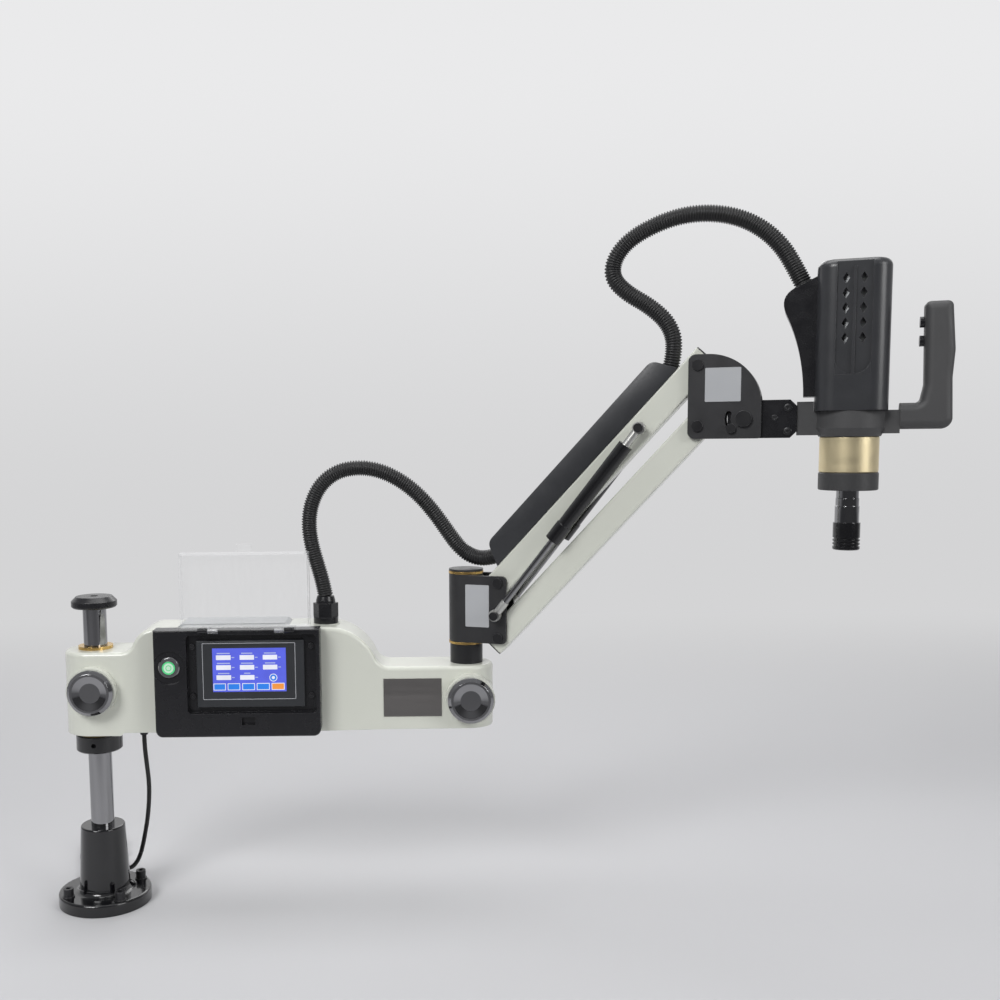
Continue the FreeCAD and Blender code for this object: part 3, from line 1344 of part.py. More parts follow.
tilt_slot = feature("tilt_slot", arc_slot(
    (float(s.tilt_along), float(s.tilt_level)), float(s.tilt_lock_radius), float(s.tilt_lock_angle),
    float(s.tilt_lock_angle - s.tilt_slot_turn), float(s.tilt_lock_dia + 2 * s.face_gap), float(cross)))
bracket_holes = [rod("front_pivot_hole%d" % i, s.pivot_pin_dia + 2 * s.seat_gap, cross, (x, -cross / 2, z),
                     "y")
                 for i, (x, z) in enumerate(front_pivots)]
bracket_holes.append(rod("tilt_hole", s.tilt_pin_dia + 2 * s.seat_gap, cross,
                         (s.tilt_along, -cross / 2, s.tilt_level), "y"))
bracket_face = Part.Face(bracket_outline())
for name, side in (("bracket_plate_near", -cheek_outside), ("bracket_plate_far", s.cheek_gap / 2)):
    blank = feature(name + "_blank", bracket_face.extrude(Vector(0, float(s.cheek_thick), 0)).translated(
        Vector(0, float(side), 0)))
    keep(name, cut(name, blank, tilt_slot, *bracket_holes), ARM)

strip_out = float(s.front_plate_arc)
strip_in = strip_out - float(s.front_strip_thick)
strip = arc_slot((float(arc_centre[0]), float(arc_centre[1])), (strip_out + strip_in) / 2,
                 float(s.front_strip_top_angle), float(s.front_strip_low_angle), strip_out - strip_in,
                 float(s.cheek_gap) / 2)
keep("bracket_spacer", feature("bracket_spacer", strip), ARM)
keep("front_pivot_pins", group("front_pivot_pins", [
    headed_pin("front_pivot_pin%d" % i, s.pivot_pin_dia, s.pivot_head_dia, s.pivot_head_thick,
               cheek_outside, x, z)
    for i, (x, z) in enumerate(front_pivots)]), ARM)
keep("tilt_pin", headed_pin("tilt_pin", s.tilt_pin_dia, s.tilt_head_dia, s.tilt_head_thick, cheek_outside,
                            s.tilt_along, s.tilt_level), ARM)

# Head bar between the plates, and the screw that locks its tilt in the slots
lock_out = s.tilt_along + s.tilt_lock_radius * s.tilt_lock_angle.cos()
lock_level = s.tilt_level + s.tilt_lock_radius * s.tilt_lock_angle.sin()
head_bar_wide = s.cheek_gap - 2 * s.face_gap
head_bar = padded("head_bar_blank", "XZ", [
    (s.head_bar_start, s.head_bar_low_level),
    (s.head_bar_end, s.head_bar_low_level),
    (s.head_bar_end, s.head_bar_low_level + s.head_bar_high),
    (s.head_bar_start, s.head_bar_low_level + s.head_bar_high),
], head_bar_wide, middle=True)
dressed(head_bar, "Chamfer", s.head_bar_bevel,
        lambda e: straight_along("y")(e) and near(e.BoundBox.XMax, s.head_bar_end))
keep("head_bar", cut(
    "head_bar", head_bar,
    rod("tilt_bore", s.tilt_pin_dia + 2 * s.run_gap, cross, (s.tilt_along, -cross / 2, s.tilt_level), "y"),
    rod("lock_bore", s.tilt_lock_dia + 2 * s.seat_gap, cross, (lock_out, -cross / 2, lock_level), "y")),
    ARM)
keep("tilt_lock_screw", headed_pin("tilt_lock_screw", s.tilt_lock_dia, s.tilt_lock_head_dia,
                                   s.tilt_lock_head_thick, cheek_outside + s.face_gap, lock_out,
                                   lock_level), ARM)

# Clamp ring round the motor's neck, with a tongue to the bar and a lug to the grip
ring_body = turned("clamp_ring", [
    (s.clamp_bore_dia / 2, s.clamp_cone_level),
    (s.clamp_cone_dia / 2, s.clamp_cone_level),
    (s.clamp_dia / 2, s.clamp_low_level),
    (s.clamp_dia / 2, s.clamp_top_level),
    (s.clamp_bore_dia / 2, s.clamp_top_level),
], (s.head_out, 0, 0))
ring_half = (s.clamp_dia + s.clamp_bore_dia) / 4
bar_middle = s.head_bar_low_level + s.head_bar_high / 2
tongue = block("clamp_tongue", s.head_out - ring_half - s.head_bar_end, s.clamp_tongue_wide,
               s.clamp_tongue_high,
               (s.head_bar_end, -s.clamp_tongue_wide / 2, bar_middle - s.clamp_tongue_high / 2))
lug = block("clamp_lug", s.handle_lug_end - s.head_out - ring_half, s.handle_lug_wide, s.handle_lug_high,
            (s.head_out + ring_half, -s.handle_lug_wide / 2, s.clamp_top_level - s.handle_lug_high))
above = block("clamp_above", s.housing_wide, s.housing_deep, s.clamp_tongue_high,
              (s.head_out - s.housing_wide / 2 - s.face_gap, -s.housing_deep / 2, s.clamp_top_level))
keep("head_clamp", cut("head_clamp", joined("clamp_full", ring_body, tongue, lug), above), ARM)

# Motor housing: a moulded shell over the servo motor, vented front and back
housing_low = s.clamp_top_level


def rounded_box(name, long, deep, low, top, corner, edge):
    box = padded(name, "XY", [
        (s.head_out - long / 2, -deep / 2),
        (s.head_out + long / 2, -deep / 2),
        (s.head_out + long / 2, deep / 2),
        (s.head_out - long / 2, deep / 2),
    ], top - low)
    bind(box.Tip.Profile[0], "AttachmentOffset.Base.z", low)
    dressed(box, "Fillet", corner, straight_along("z"))
    dressed(box, "Fillet", edge, lambda e: near(e.BoundBox.ZMin, top))
    return box


shell = rounded_box("housing_shell", s.housing_wide, s.housing_deep, housing_low, s.housing_top_level,
                    s.housing_corner, s.housing_top_edge)
hollow = rounded_box("housing_hollow", s.housing_wide - 2 * s.housing_wall,
                     s.housing_deep - 2 * s.housing_wall,
                     housing_low - s.overrun, s.housing_top_level - s.housing_wall,
                     s.housing_corner - s.housing_wall, s.housing_top_edge - s.housing_wall)
recess_low = s.recess_low_level
recess = block("housing_recess", s.recess_wide, s.recess_deep + s.overrun, s.housing_top_level - recess_low,
               (s.head_out - s.recess_wide / 2, -s.housing_deep / 2 - s.overrun, recess_low))
ridge = block("housing_ridge", s.recess_ridge, s.recess_deep,
              s.housing_top_level - s.housing_top_edge - recess_low,
              (s.head_out - s.recess_ridge / 2, -s.housing_deep / 2, recess_low))
vents = []
for column, side in enumerate((-s.vent_side, s.vent_side)):
    for i in range(5):
        x = s.head_out + side
        z = s.vent_top_level - i * s.vent_pitch
        vent = padded("vent%d%d" % (column, i), "XZ", [
            (x - s.vent_wide / 2, z),
            (x, z - s.vent_high / 2),
            (x + s.vent_wide / 2, z),
            (x, z + s.vent_high / 2),
        ], s.housing_deep + 2 * s.overrun, middle=True)
        vents.append(vent)
keep("motor_housing", cut("motor_housing", joined("housing_full", cut("housing_walls", shell, recess),
                                                  ridge),
                          hollow, *vents), ARM)
keep("servo_motor", rod("servo_motor", s.motor_dia, s.housing_high - s.motor_clear,
                        (s.head_out, 0, housing_low)), ARM)

# Terminal box on the motor's left side, from its outline as shares of its width and height
TERMINAL_SHARES = ((1, 0), (0.7, 0.02), (0.63, 0.26), (0.41, 0.5), (0.07, 0.71), (0, 0.79), (0.36, 0.91),
                   (1, 1))
terminal_right = s.head_out - s.housing_wide / 2
terminal = padded("terminal_box", "XZ", [
    (terminal_right - (1 - across) * s.terminal_long, s.terminal_low_level + up * s.terminal_high)
    for across, up in TERMINAL_SHARES], s.terminal_wide, middle=True)
keep("terminal_box", terminal, ARM)

# Reducer, nose, spindle and tap holder on the head's axis
spindle_hole = s.spindle_neck_dia / 2 + s.run_gap
for name, dia, low, high in (("reducer_ring", s.reducer_dia, s.reducer_low_level, s.clamp_cone_level),
                             ("nose_ring", s.nose_dia, s.nose_low_level, s.reducer_low_level)):
    keep(name, turned(name, [
        (spindle_hole, low),
        (dia / 2 - s.nose_edge, low),
        (dia / 2, low + s.nose_edge),
        (dia / 2, high - s.nose_edge),
        (dia / 2 - s.nose_edge, high),
        (spindle_hole, high),
    ], (s.head_out, 0, 0)), ARM)
keep("spindle", turned("spindle", [
    (0, s.clamp_cone_level),
    (s.spindle_neck_dia / 2, s.clamp_cone_level),
    (s.spindle_neck_dia / 2, s.spindle_band_top_level),
    (s.spindle_band_dia / 2, s.spindle_band_top_level),
    (s.spindle_band_dia / 2, s.spindle_band_low_level),
    (s.spindle_dia / 2, s.spindle_band_low_level),
    (s.spindle_dia / 2, s.spindle_low_level),
    (s.spindle_bore_dia / 2 + s.seat_gap, s.spindle_low_level),
    (s.spindle_bore_dia / 2 + s.seat_gap, s.spindle_low_level + s.spindle_bore_deep),
    (0, s.spindle_low_level + s.spindle_bore_deep),
], (s.head_out, 0, 0)), ARM)
groove = s.holder_groove_wide
holder_radius = s.holder_head_dia / 2
holder_low = s.holder_head_low_level
holder_points = [
    (s.tap_bore_dia / 2, holder_low + s.tap_bore_deep),
    (s.tap_bore_dia / 2, holder_low),
    (holder_radius - s.nose_edge, holder_low),
    (holder_radius, holder_low + s.nose_edge),
]
for i in range(3):
    level = holder_low + (2 * i + 2) * groove
    holder_points += [
        (holder_radius, level),
        (holder_radius - s.holder_groove_deep, level),
        (holder_radius - s.holder_groove_deep, level + groove),
        (holder_radius, level + groove),
    ]
holder_points += [
    (holder_radius, s.spindle_low_level),
    (s.holder_shank_dia / 2, s.spindle_low_level),
    (s.holder_shank_dia / 2, s.spindle_low_level + s.holder_shank_long),
    (0, s.spindle_low_level + s.holder_shank_long),
    (0, holder_low + s.tap_bore_deep),
]
keep("tap_collet", turned("tap_collet", holder_points, (s.head_out, 0, 0)), ARM)

# Grip: a moulded arm and upright handle, with two push buttons on the operator's left
def grip_shape():
    low = float(s.grip_low_level)
    top = float(s.grip_top_level)
    left = float(s.handle_lug_end)
    right = float(s.grip_right)
    stem = right - float(s.grip_thick)
    arm_top = low + float(s.grip_arm_high)
    lean = float(s.grip_lean)
    blend = float(s.grip_blend)
    points = [(left, low, 0), (right, low, blend), (right - lean, low + (top - low) * 0.4, 3 * blend),
              (right, low + (top - low) * 0.62, 3 * blend), (right - 2 * lean, top, blend / 2),
              (stem, top, blend / 2), (stem + lean, low + (top - low) * 0.35, 2 * blend),
              (stem - lean, arm_top, blend / 2), (left, arm_top, 0)]
    wire = rounded([Vector(x, 0, z) for x, z, _ in points], [radius for _, _, radius in points])
    deep = float(s.grip_deep)
    solid = Part.Face(wire).extrude(Vector(0, deep, 0)).translated(Vector(0, -deep / 2, 0))
    rims = [e for e in solid.Edges if e.BoundBox.YLength < 0.01 and e.BoundBox.XMin > left + 0.01]
    return solid.makeFillet(float(s.grip_round), rims)


grip = feature("grip_blank", grip_shape())
grip_button_start = s.grip_right - s.grip_thick - s.grip_button_proud
button_bores = []
for name, level in (("start_button", s.start_button_level), ("reverse_button", s.reverse_button_level)):
    keep(name, rod(name, s.grip_button_dia, s.grip_button_long, (grip_button_start, 0, level), "x"), ARM)
    button_bores.append(rod(name + "_bore", s.grip_button_dia + 2 * s.run_gap + s.run_gap,
                            s.grip_button_long + s.grip_button_proud, (grip_button_start, 0, level), "x"))
keep("handle_grip", cut("handle_grip", grip, *button_bores), ARM)


# Hoses and cord: one smooth path each, its corners rounded by the runs beside them
def smooth_path(points):
    """Straight runs joined by arcs, each arc as large as its two runs allow."""
    edges = []
    radii = []
    here = points[0]
    for before, corner, after in zip(points, points[1:], points[2:]):
        back = before - corner
        ahead = after - corner
        half = back.getAngle(ahead) / 2
        reach = 0.45 * min(back.Length, ahead.Length)
        radius = reach * math.tan(half)
        back.normalize()
        ahead.normalize()
        start = corner + back * reach
        end = corner + ahead * reach
        bisector = (back + ahead).normalize()
        middle = corner + bisector * (radius / math.sin(half) - radius)
        edges.append(Part.LineSegment(here, start).toShape())
        edges.append(Part.Arc(start, middle, end).toShape())
        radii.append(radius)
        here = end
    edges.append(Part.LineSegment(here, points[-1]).toShape())
    return edges, radii


def tube_along(edges, dia):
    """A round tube swept along a smooth path of lines and arcs."""
    wire = Part.Wire(edges)
    first = wire.OrderedEdges[0]
    start = first.valueAt(first.FirstParameter)
    heading = first.tangentAt(first.FirstParameter)
    section = Part.Wire(Part.Circle(start, heading, float(dia) / 2).toShape())
    sweep = Part.BRepOffsetAPI.MakePipeShell(wire)
    sweep.add(section, False, False)
    sweep.build()
    sweep.makeSolid()
    solid = sweep.shape()
    ideal = math.pi * float(dia) ** 2 / 4 * wire.Length
    print("tube of %.0f mm, volume %.4f of its section times its length" % (wire.Length,
                                                                            solid.Volume / ideal))
    return solid


def hose_line(points, leaving, arriving):
    line = Part.BSplineCurve()
    line.interpolate(Points=points, InitialTangent=leaving, FinalTangent=arriving)
    return line


def hose_ring(line, distance, radius, steady):
    turn = line.parameterAtDistance(distance)
    heading = line.tangent(turn)[0]
    circle = Part.Circle(line.value(turn), heading, radius)
    circle.XAxis = steady.cross(heading).normalize()
    return Part.Wire(circle.toShape())


def plain_hose(line, rings, steady):
    """A smooth hose with a bore right through, lofted through rings along one smooth curve."""
    whole = line.length()
    outer, inner = [[hose_ring(line, whole * i / (rings - 1), float(dia) / 2, steady) for i in range(rings)]
                    for dia in (s.hose_dia, s.hose_bore_dia)]
    return Part.makeLoft(outer, True, False).cut(Part.makeLoft(inner, True, False))


# Where the four rings of a rib stand along its pitch
RIB_SHARES = (0.12, 0.3, 0.7, 0.88)


def ribbed_hose(line, ribs, steady):
    """A corrugated hose: four rings to a rib along one smooth curve, and a bore right through."""
    end = float(s.hose_end_long)
    whole = line.length()
    crest = float(s.hose_dia) / 2
    root = crest - float(s.hose_rib_deep)

    def ring(distance, radius):
        return hose_ring(line, distance, radius, steady)

    pitch = (whole - 2 * end) / ribs
    outer = [ring(0, root)]
    inner = [ring(0, float(s.hose_bore_dia) / 2)]
    for i in range(ribs):
        for share, radius in zip(RIB_SHARES, (root, crest, crest, root)):
            outer.append(ring(end + (i + share) * pitch, radius))
        inner.append(ring(end + (i + 0.5) * pitch, float(s.hose_bore_dia) / 2))
    outer.append(ring(whole, root))
    inner.append(ring(whole, float(s.hose_bore_dia) / 2))
    return Part.makeLoft(outer, True, True).cut(Part.makeLoft(inner, True, True))


def arm_point(out, level):
    return ARM.multVec(Vector(out, 0, level))


gland_top_level = float(s.box_top_level + gland_top)
lower_hose_points = [Vector(float(s.gland_along), 0, gland_top_level)] + [
    Vector(x, 0, z) for x, z in (
        (297, 424), (291, 447), (284.5, 472), (282, 498), (285.5, 524), (297, 548), (318, 564.5),
        (345, 570.5), (373, 566), (399, 553), (423, 533.5), (443, 509.5), (460, 484.5))] + [
    arm_point(out, level) for out, level in ((-7, 463.5), (10, 453.5), (27, 452), (40, 456))]
upper_hose_points = [arm_point(out, level) for out, level in (
    (256.6, 691.5), (261, 714), (253.5, 739), (232, 760), (205, 776.5), (188.5, 795), (190.5, 816),
    (207, 837),
    (236, 855), (270, 863.5), (304, 862.5), (334, 854), (358.5, 839), (376.5, 820.5), (389.5, 799.5),
    (399.5, 781))]
lower_line = hose_line(lower_hose_points, Vector(0, 0, 1), arm_point(3, 0) - arm_point(0, -1))
upper_line = hose_line(upper_hose_points, arm_point(1, 5) - arm_point(0, 0),
                       arm_point(1, 0) - arm_point(0, 2))
keep("lower_hose", feature("lower_hose", ribbed_hose(lower_line, int(s.hose_ribs.value), Vector(0, 1, 0))))
keep("upper_hose", feature("upper_hose", plain_hose(upper_line, int(s.hose_rings.value),
                                                    ARM.Rotation.multVec(Vector(0, 1, 0)))))

# Mains cord: down behind the column to the floor, then a hank behind the base
hank_away = Rotation(Vector(0, 0, 1), float(s.hank_heading))
hank_middle = hank_away.multVec(Vector(float(s.hank_reach), float(s.hank_side), 0))
HANK = Placement(hank_middle, hank_away)
radius = float(s.cord_dia) / 2
pitch = float(s.hank_pitch)
half_run = float(s.hank_run) / 2
waist = math.radians(float(s.hank_waist_angle))
lanes = [-(-1) ** k * (float(s.hank_first_lane) - k * pitch / 2) for k in range(5)]
floor_layer = radius
top_layer = radius + pitch


def hank_fold(end, lane, following, level):
    """The three points of the fold between two runs."""
    bend = (abs(lane) + abs(following)) / 2 / math.cos(waist)
    x = end * (half_run - bend * math.sin(waist))
    return Vector(x, lane, level), Vector(end * (half_run + bend), (lane + following) / 2, level), \
        Vector(x, following, level)


def hank_run(start, end):
    """A run drawn in at the waist, or one that climbs a layer between its two quarters."""
    inwards = -1 if start.y > 0 else 1
    if abs(start.z - end.z) < 0.01:
        middle = (start + end) / 2
        middle.y += inwards * abs(start.x - end.x) / 2 * math.tan(waist)
        return rounded_run([start, middle, end], float(s.hank_waist_bend))
    first = start + (end - start) * 0.25
    last = start + (end - start) * 0.75
    for point, level in ((first, start.z), (last, end.z)):
        point.y = start.y + inwards * abs(start.x - end.x) / 4 * math.tan(waist)
        point.z = level
    return rounded_run([start, first, last, end], float(s.hank_waist_bend))


def rounded_run(points, bend):
    edges = []
    here = points[0]
    for before, corner, after in zip(points, points[1:], points[2:]):
        back = (before - corner).normalize()
        ahead = (after - corner).normalize()
        half = back.getAngle(ahead) / 2
        reach = bend / math.tan(half)
        middle = corner + (back + ahead).normalize() * (bend / math.sin(half) - bend)
        edges.append(Part.LineSegment(here, corner + back * reach).toShape())
        edges.append(Part.Arc(corner + back * reach, middle, corner + ahead * reach).toShape())
        here = corner + ahead * reach
    edges.append(Part.LineSegment(here, points[-1]).toShape())
    return edges


folds = []
for k in range(4):
    folds.append(hank_fold((-1) ** k, lanes[k], lanes[k + 1], floor_layer))
for k in (4, 3, 2):
    folds.append(hank_fold((-1) ** k, lanes[k], lanes[k - 1], top_layer))
first_fold = folds[0][0]
last_fold = folds[-1][2]
slope = math.tan(waist)
hank_waist = Vector(0, first_fold.y + abs(first_fold.x) * slope, floor_layer)
hank_start = Vector(-float(s.hank_lead), first_fold.y + (abs(first_fold.x) - float(s.hank_lead)) * slope,
                    floor_layer)
hank_end = Vector(0, last_fold.y - abs(last_fold.x) * slope, top_layer)
hank_edges = rounded_run([hank_start, hank_waist, first_fold], float(s.hank_waist_bend))
for i, fold in enumerate(folds):
    hank_edges.append(Part.Arc(*fold).toShape())
    if i + 1 < len(folds):
        hank_edges += hank_run(fold[2], folds[i + 1][0])
hank_edges.append(Part.LineSegment(last_fold, hank_end).toShape())
least_gap = pitch * math.cos(waist) - float(s.cord_dia)
print("hank of %.0f mm, least gap %.2f mm" % (Part.Wire(hank_edges).Length, least_gap))
keep("mains_hank", feature("mains_hank", tube_along(hank_edges, s.cord_dia)), HANK)

inlet_nose_level = float(inlet_level - s.inlet_long)
cord_out = (float(s.inlet_along), float(s.inlet_away))
hank_door = HANK.multVec(hank_start)
drop_points = [Vector(cord_out[0], cord_out[1], inlet_nose_level)] + [Vector(*point) for point in (
    (52, 28, 198), (53.3, 32, 173), (54.1, 37.5, 147), (51.7, 44, 120), (47.4, 50, 93), (41.5, 56, 68),
    (35, 63, 44))] + [HANK.multVec(Vector(*point)) for point in (
    (-89, -47, 27), (-76, -39.5, 12.5), (-58, -32.5, 4.6), (-42, -29.4, 3))] + [hank_door]
tail_points = [hank_end, hank_end + (hank_end - last_fold).normalize() * float(s.cord_dia)] + [
    Vector(*point) for point in (
        (-22, 24.4, 11.4), (-38, 26, 15.5), (-52, 26.5, 18.3), (-71.8, 26.5, 19.8), (-87, 11.3, 20.2),
        (-87, -10.3, 20.5), (-71.8, -25.5, 20.8), (-56.2, -25.5, 21.1), (-41.6, -18, 21.4),
        (-33.4, -4.8, 21.6),
        (-19.8, 3, 21.8))] + [Vector(float(s.plug_start), float(s.plug_side), float(s.plug_level))]
drop_edges, drop_radii = smooth_path(drop_points)
tail_edges, tail_radii = smooth_path([HANK.multVec(point) for point in tail_points])
print("cord radii", " ".join("%.0f" % r for r in drop_radii + tail_radii))
keep("mains_cord", feature("mains_cord", Part.makeCompound([
    tube_along(drop_edges, s.cord_dia), tube_along(tail_edges, s.cord_dia)])))

# Plug: a moulded body with a nose for the cord and two round pins
plug_body = padded("plug_body", "XY", [
    (s.plug_nose_long, -s.plug_wide / 2),
    (s.plug_nose_long + s.plug_long, -s.plug_wide / 2),
    (s.plug_nose_long + s.plug_long, s.plug_wide / 2),
    (s.plug_nose_long, s.plug_wide / 2),
], s.plug_thick, middle=True)
dressed(plug_body, "Fillet", s.plug_edge, straight_along("x"))
plug_nose = turned("plug_nose", [
    (0, 0),
    (s.cord_dia / 2 + s.washer_thick, 0),
    (s.plug_thick / 2 - s.washer_thick, s.plug_nose_long),
    (0, s.plug_nose_long),
], (0, 0, 0), "x")
plug_pins = [rod("plug_pin%d" % i, s.plug_pin_dia, s.plug_pin_long,
                 (s.plug_nose_long + s.plug_long, side, 0), "x")
             for i, side in enumerate((s.plug_pin_side, -s.plug_pin_side))]
PLUG = HANK * Placement(Vector(float(s.plug_start), float(s.plug_side), float(s.plug_level)), Rotation())
keep("mains_plug", joined("mains_plug", plug_body, plug_nose, *plug_pins), PLUG)

doc.recompute()
failed = [thing.Name for thing in doc.Objects if "Invalid" in thing.State or "Error" in thing.State]
if failed:
    raise RuntimeError("these objects failed: " + ", ".join(failed))
os.makedirs("parts", exist_ok=True)
for name, thing in nodes.items():
    if thing.Shape.isNull() or not thing.Shape.isValid():
        raise RuntimeError("the shape of %s isn't valid" % name)
    thing.Shape.exportStep("parts/%s.step" % thing.Label)
print(len(nodes), "sub-parts written")
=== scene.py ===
"""Arm tapping machine, dressed for the render, in the order in which the machine is put together.

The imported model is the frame. Lengths in the code are millimetres, and mm() takes them to metres.
"""
import json
import math

import bmesh
import bpy
from mathutils import Matrix, Vector

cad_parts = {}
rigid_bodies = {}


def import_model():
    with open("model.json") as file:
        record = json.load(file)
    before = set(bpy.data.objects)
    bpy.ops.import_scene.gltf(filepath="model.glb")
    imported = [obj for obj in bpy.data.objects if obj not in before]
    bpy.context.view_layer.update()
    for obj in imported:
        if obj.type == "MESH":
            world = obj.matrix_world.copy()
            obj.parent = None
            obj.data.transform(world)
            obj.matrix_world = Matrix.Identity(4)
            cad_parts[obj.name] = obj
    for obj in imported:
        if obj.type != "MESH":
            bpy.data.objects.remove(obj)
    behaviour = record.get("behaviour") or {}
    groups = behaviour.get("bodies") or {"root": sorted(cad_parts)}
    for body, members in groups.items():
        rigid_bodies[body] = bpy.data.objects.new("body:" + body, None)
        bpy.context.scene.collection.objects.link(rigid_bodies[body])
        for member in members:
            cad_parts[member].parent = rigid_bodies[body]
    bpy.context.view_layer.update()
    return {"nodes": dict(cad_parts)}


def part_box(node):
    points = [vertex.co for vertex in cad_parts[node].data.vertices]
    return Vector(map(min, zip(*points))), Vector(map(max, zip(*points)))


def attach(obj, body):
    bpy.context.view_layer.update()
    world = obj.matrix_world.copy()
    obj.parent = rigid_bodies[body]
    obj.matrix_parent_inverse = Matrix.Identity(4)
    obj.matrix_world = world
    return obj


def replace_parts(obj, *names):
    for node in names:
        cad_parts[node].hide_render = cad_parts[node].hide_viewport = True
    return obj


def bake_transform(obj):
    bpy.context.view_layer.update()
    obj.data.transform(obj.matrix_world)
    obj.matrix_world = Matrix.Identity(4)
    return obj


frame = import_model()
nodes = frame["nodes"]

# Base: a cast iron flange and cone, turned where it shows, primed and enamelled gloss black by spraying.
# Four M8 socket screws of blackened steel hold it to the bench through flat and spring washers.


def linear(code):
    """An sRGB hex colour as linear numbers."""
    shares = [int(code[i:i + 2], 16) / 255 for i in (0, 2, 4)]
    return [share / 12.92 if share <= 0.04045 else ((share + 0.055) / 1.055) ** 2.4 for share in shares]


def add_node(tree, kind, inputs, **settings):
    """Adds a node with its settings. An input is a socket to link from, or the value that it takes."""
    made = tree.nodes.new("ShaderNode" + kind)
    for name, value in settings.items():
        setattr(made, name, value)
    for name, value in inputs.items():
        if isinstance(value, bpy.types.NodeSocket):
            tree.links.new(value, made.inputs[name])
        else:
            made.inputs[name].default_value = value
    return made


def bare_surface(name, color, rough, metal, sockets):
    """A material with its own sockets set and nothing linked yet."""
    material = bpy.data.materials.new(name)
    material.use_nodes = True
    shader = material.node_tree.nodes["Principled BSDF"]
    shader.inputs["Base Color"].default_value = (*color, 1)
    shader.inputs["Roughness"].default_value = rough
    shader.inputs["Metallic"].default_value = metal
    for socket, value in sockets.items():
        shader.inputs[socket.replace("_", " ")].default_value = value
    return material, material.node_tree, shader


def patches(tree, size, detail, low, high, stretch=(1, 1, 1)):
    """Soft patches of about this size in millimetres, from low to high."""
    place = add_node(tree, "TexCoord", {}).outputs["Object"]
    drawn = add_node(tree, "Mapping", {"Vector": place, "Scale": stretch}).outputs["Vector"]
    noise = add_node(tree, "TexNoise", {"Vector": drawn, "Scale": 1000 / size, "Detail": detail}).outputs["Fac"]
    if low is None:
        return noise
    return add_node(tree, "MapRange", {"Value": noise, "From Min": 0.3, "From Max": 0.7, "To Min": low,
                                       "To Max": high}).outputs["Result"]


def finish(name, code, rough, metal=0.0, grain=None, uneven=0.08, tone=0.035, edge=0.6, wear=None,
           stretch=(1, 1, 1), **sockets):
    """A finish with a slow change of tone, uneven gloss, a fine grain and rounded, rubbed edges.

    grain is the size and depth of its finest unevenness, edge the radius of its corners, all in millimetres,
    and wear the colour that rubbed edges show.
    """
    color = linear(code)
    material, tree, shader = bare_surface(name, color, rough, metal, sockets)
    tinted = add_node(tree, "Mix", {
        "Factor": patches(tree, 111, 4.0, 0, 1),
        "A": (*[c * (1 - tone) for c in color], 1),
        "B": (*[min(1.0, c * (1 + tone)) for c in color], 1),
    }, data_type="RGBA").outputs["Result"]
    if wear:
        # The normal of a corner rounded by 0.8 mm leans from the plain one on the narrow band that hands rub
        rounded = add_node(tree, "Bevel", {"Radius": 0.0008}, samples=4).outputs["Normal"]
        plain = add_node(tree, "NewGeometry", {}).outputs["Normal"]
        lean = add_node(tree, "VectorMath", {0: rounded, 1: plain}, operation="DOT_PRODUCT").outputs["Value"]
        band = add_node(tree, "MapRange", {"Value": lean, "From Min": 0.97, "From Max": 0.86}).outputs["Result"]
        rubbed = add_node(tree, "Math", {0: band, 1: patches(tree, 14.3, 5.0, 0, 0.8)}, operation="MULTIPLY")
        tinted = add_node(tree, "Mix", {"Factor": rubbed.outputs["Value"], "A": tinted, "B": (*linear(wear), 1)},
                          data_type="RGBA").outputs["Result"]
    tree.links.new(tinted, shader.inputs["Base Color"])
    gloss = patches(tree, 22.2, 5.0, max(0.02, rough - uneven / 2), rough + uneven, stretch)
    tree.links.new(gloss, shader.inputs["Roughness"])
    normal = add_node(tree, "Bevel", {"Radius": edge / 1000}, samples=4).outputs["Normal"]
    if grain:
        normal = add_node(tree, "Bump", {
            "Strength": 1.0,
            "Distance": grain[1] / 1000,
            "Height": patches(tree, grain[0], 2.0, None, None, stretch),
            "Normal": normal,
        }).outputs["Normal"]
    tree.links.new(normal, shader.inputs["Normal"])
    return material


def coat(material, *names):
    """Gives these nodes of the model one finish."""
    for name in names:
        nodes[name].data.materials.clear()
        nodes[name].data.materials.append(material)


# Sprayed gloss enamel: deep black with long, slightly wavy lights, orange peel of 2.6 mm
gloss_enamel = finish("gloss_enamel", "0D0D10", 0.13, grain=(2.632, 0.06), edge=1.2, wear="303032",
                      Coat_Weight=0.5, Coat_Roughness=0.06)
# Blackened steel: hot oxide on turned steel, dull black with a faint metal sheen and bright rubbed rims
blackened_steel = finish("blackened_steel", "29292B", 0.32, 0.35, grain=(0.714, 0.05), edge=0.5, wear="818184")
coat(gloss_enamel, "base")
coat(blackened_steel, "base_screws")

# Column: a ground steel bar with hard chrome, pressed into the base. A moulded stop disc is screwed on its top.
# A slotted collar of turned steel, enamelled and clamped with a grub screw, carries the arm.
# Hard chrome: grey mirror that shows the dim room in long bands, with fine grinding lines round the bar
hard_chrome = finish("hard_chrome", "99999B", 0.045, 1.0, grain=(0.3846, 0.004), uneven=0.03, tone=0.02, edge=0.9,
                     stretch=(1, 1, 0.05))
# Moulded ABS: near black, half glossy, with a fine spark-eroded grain and greyer rubbed edges
moulded_abs = finish("moulded_abs", "1B1B1E", 0.23, grain=(0.667, 0.06), uneven=0.1, edge=0.8, wear="3F3F42")
# Stove enamel on a turned tube: smooth black that mirrors in narrow lines
stove_enamel = finish("stove_enamel", "141416", 0.16, grain=(0.667, 0.02), uneven=0.05, Coat_Weight=0.4,
                      Coat_Roughness=0.08)
coat(hard_chrome, "column")
coat(moulded_abs, "column_cap")
coat(stove_enamel, "height_collar")

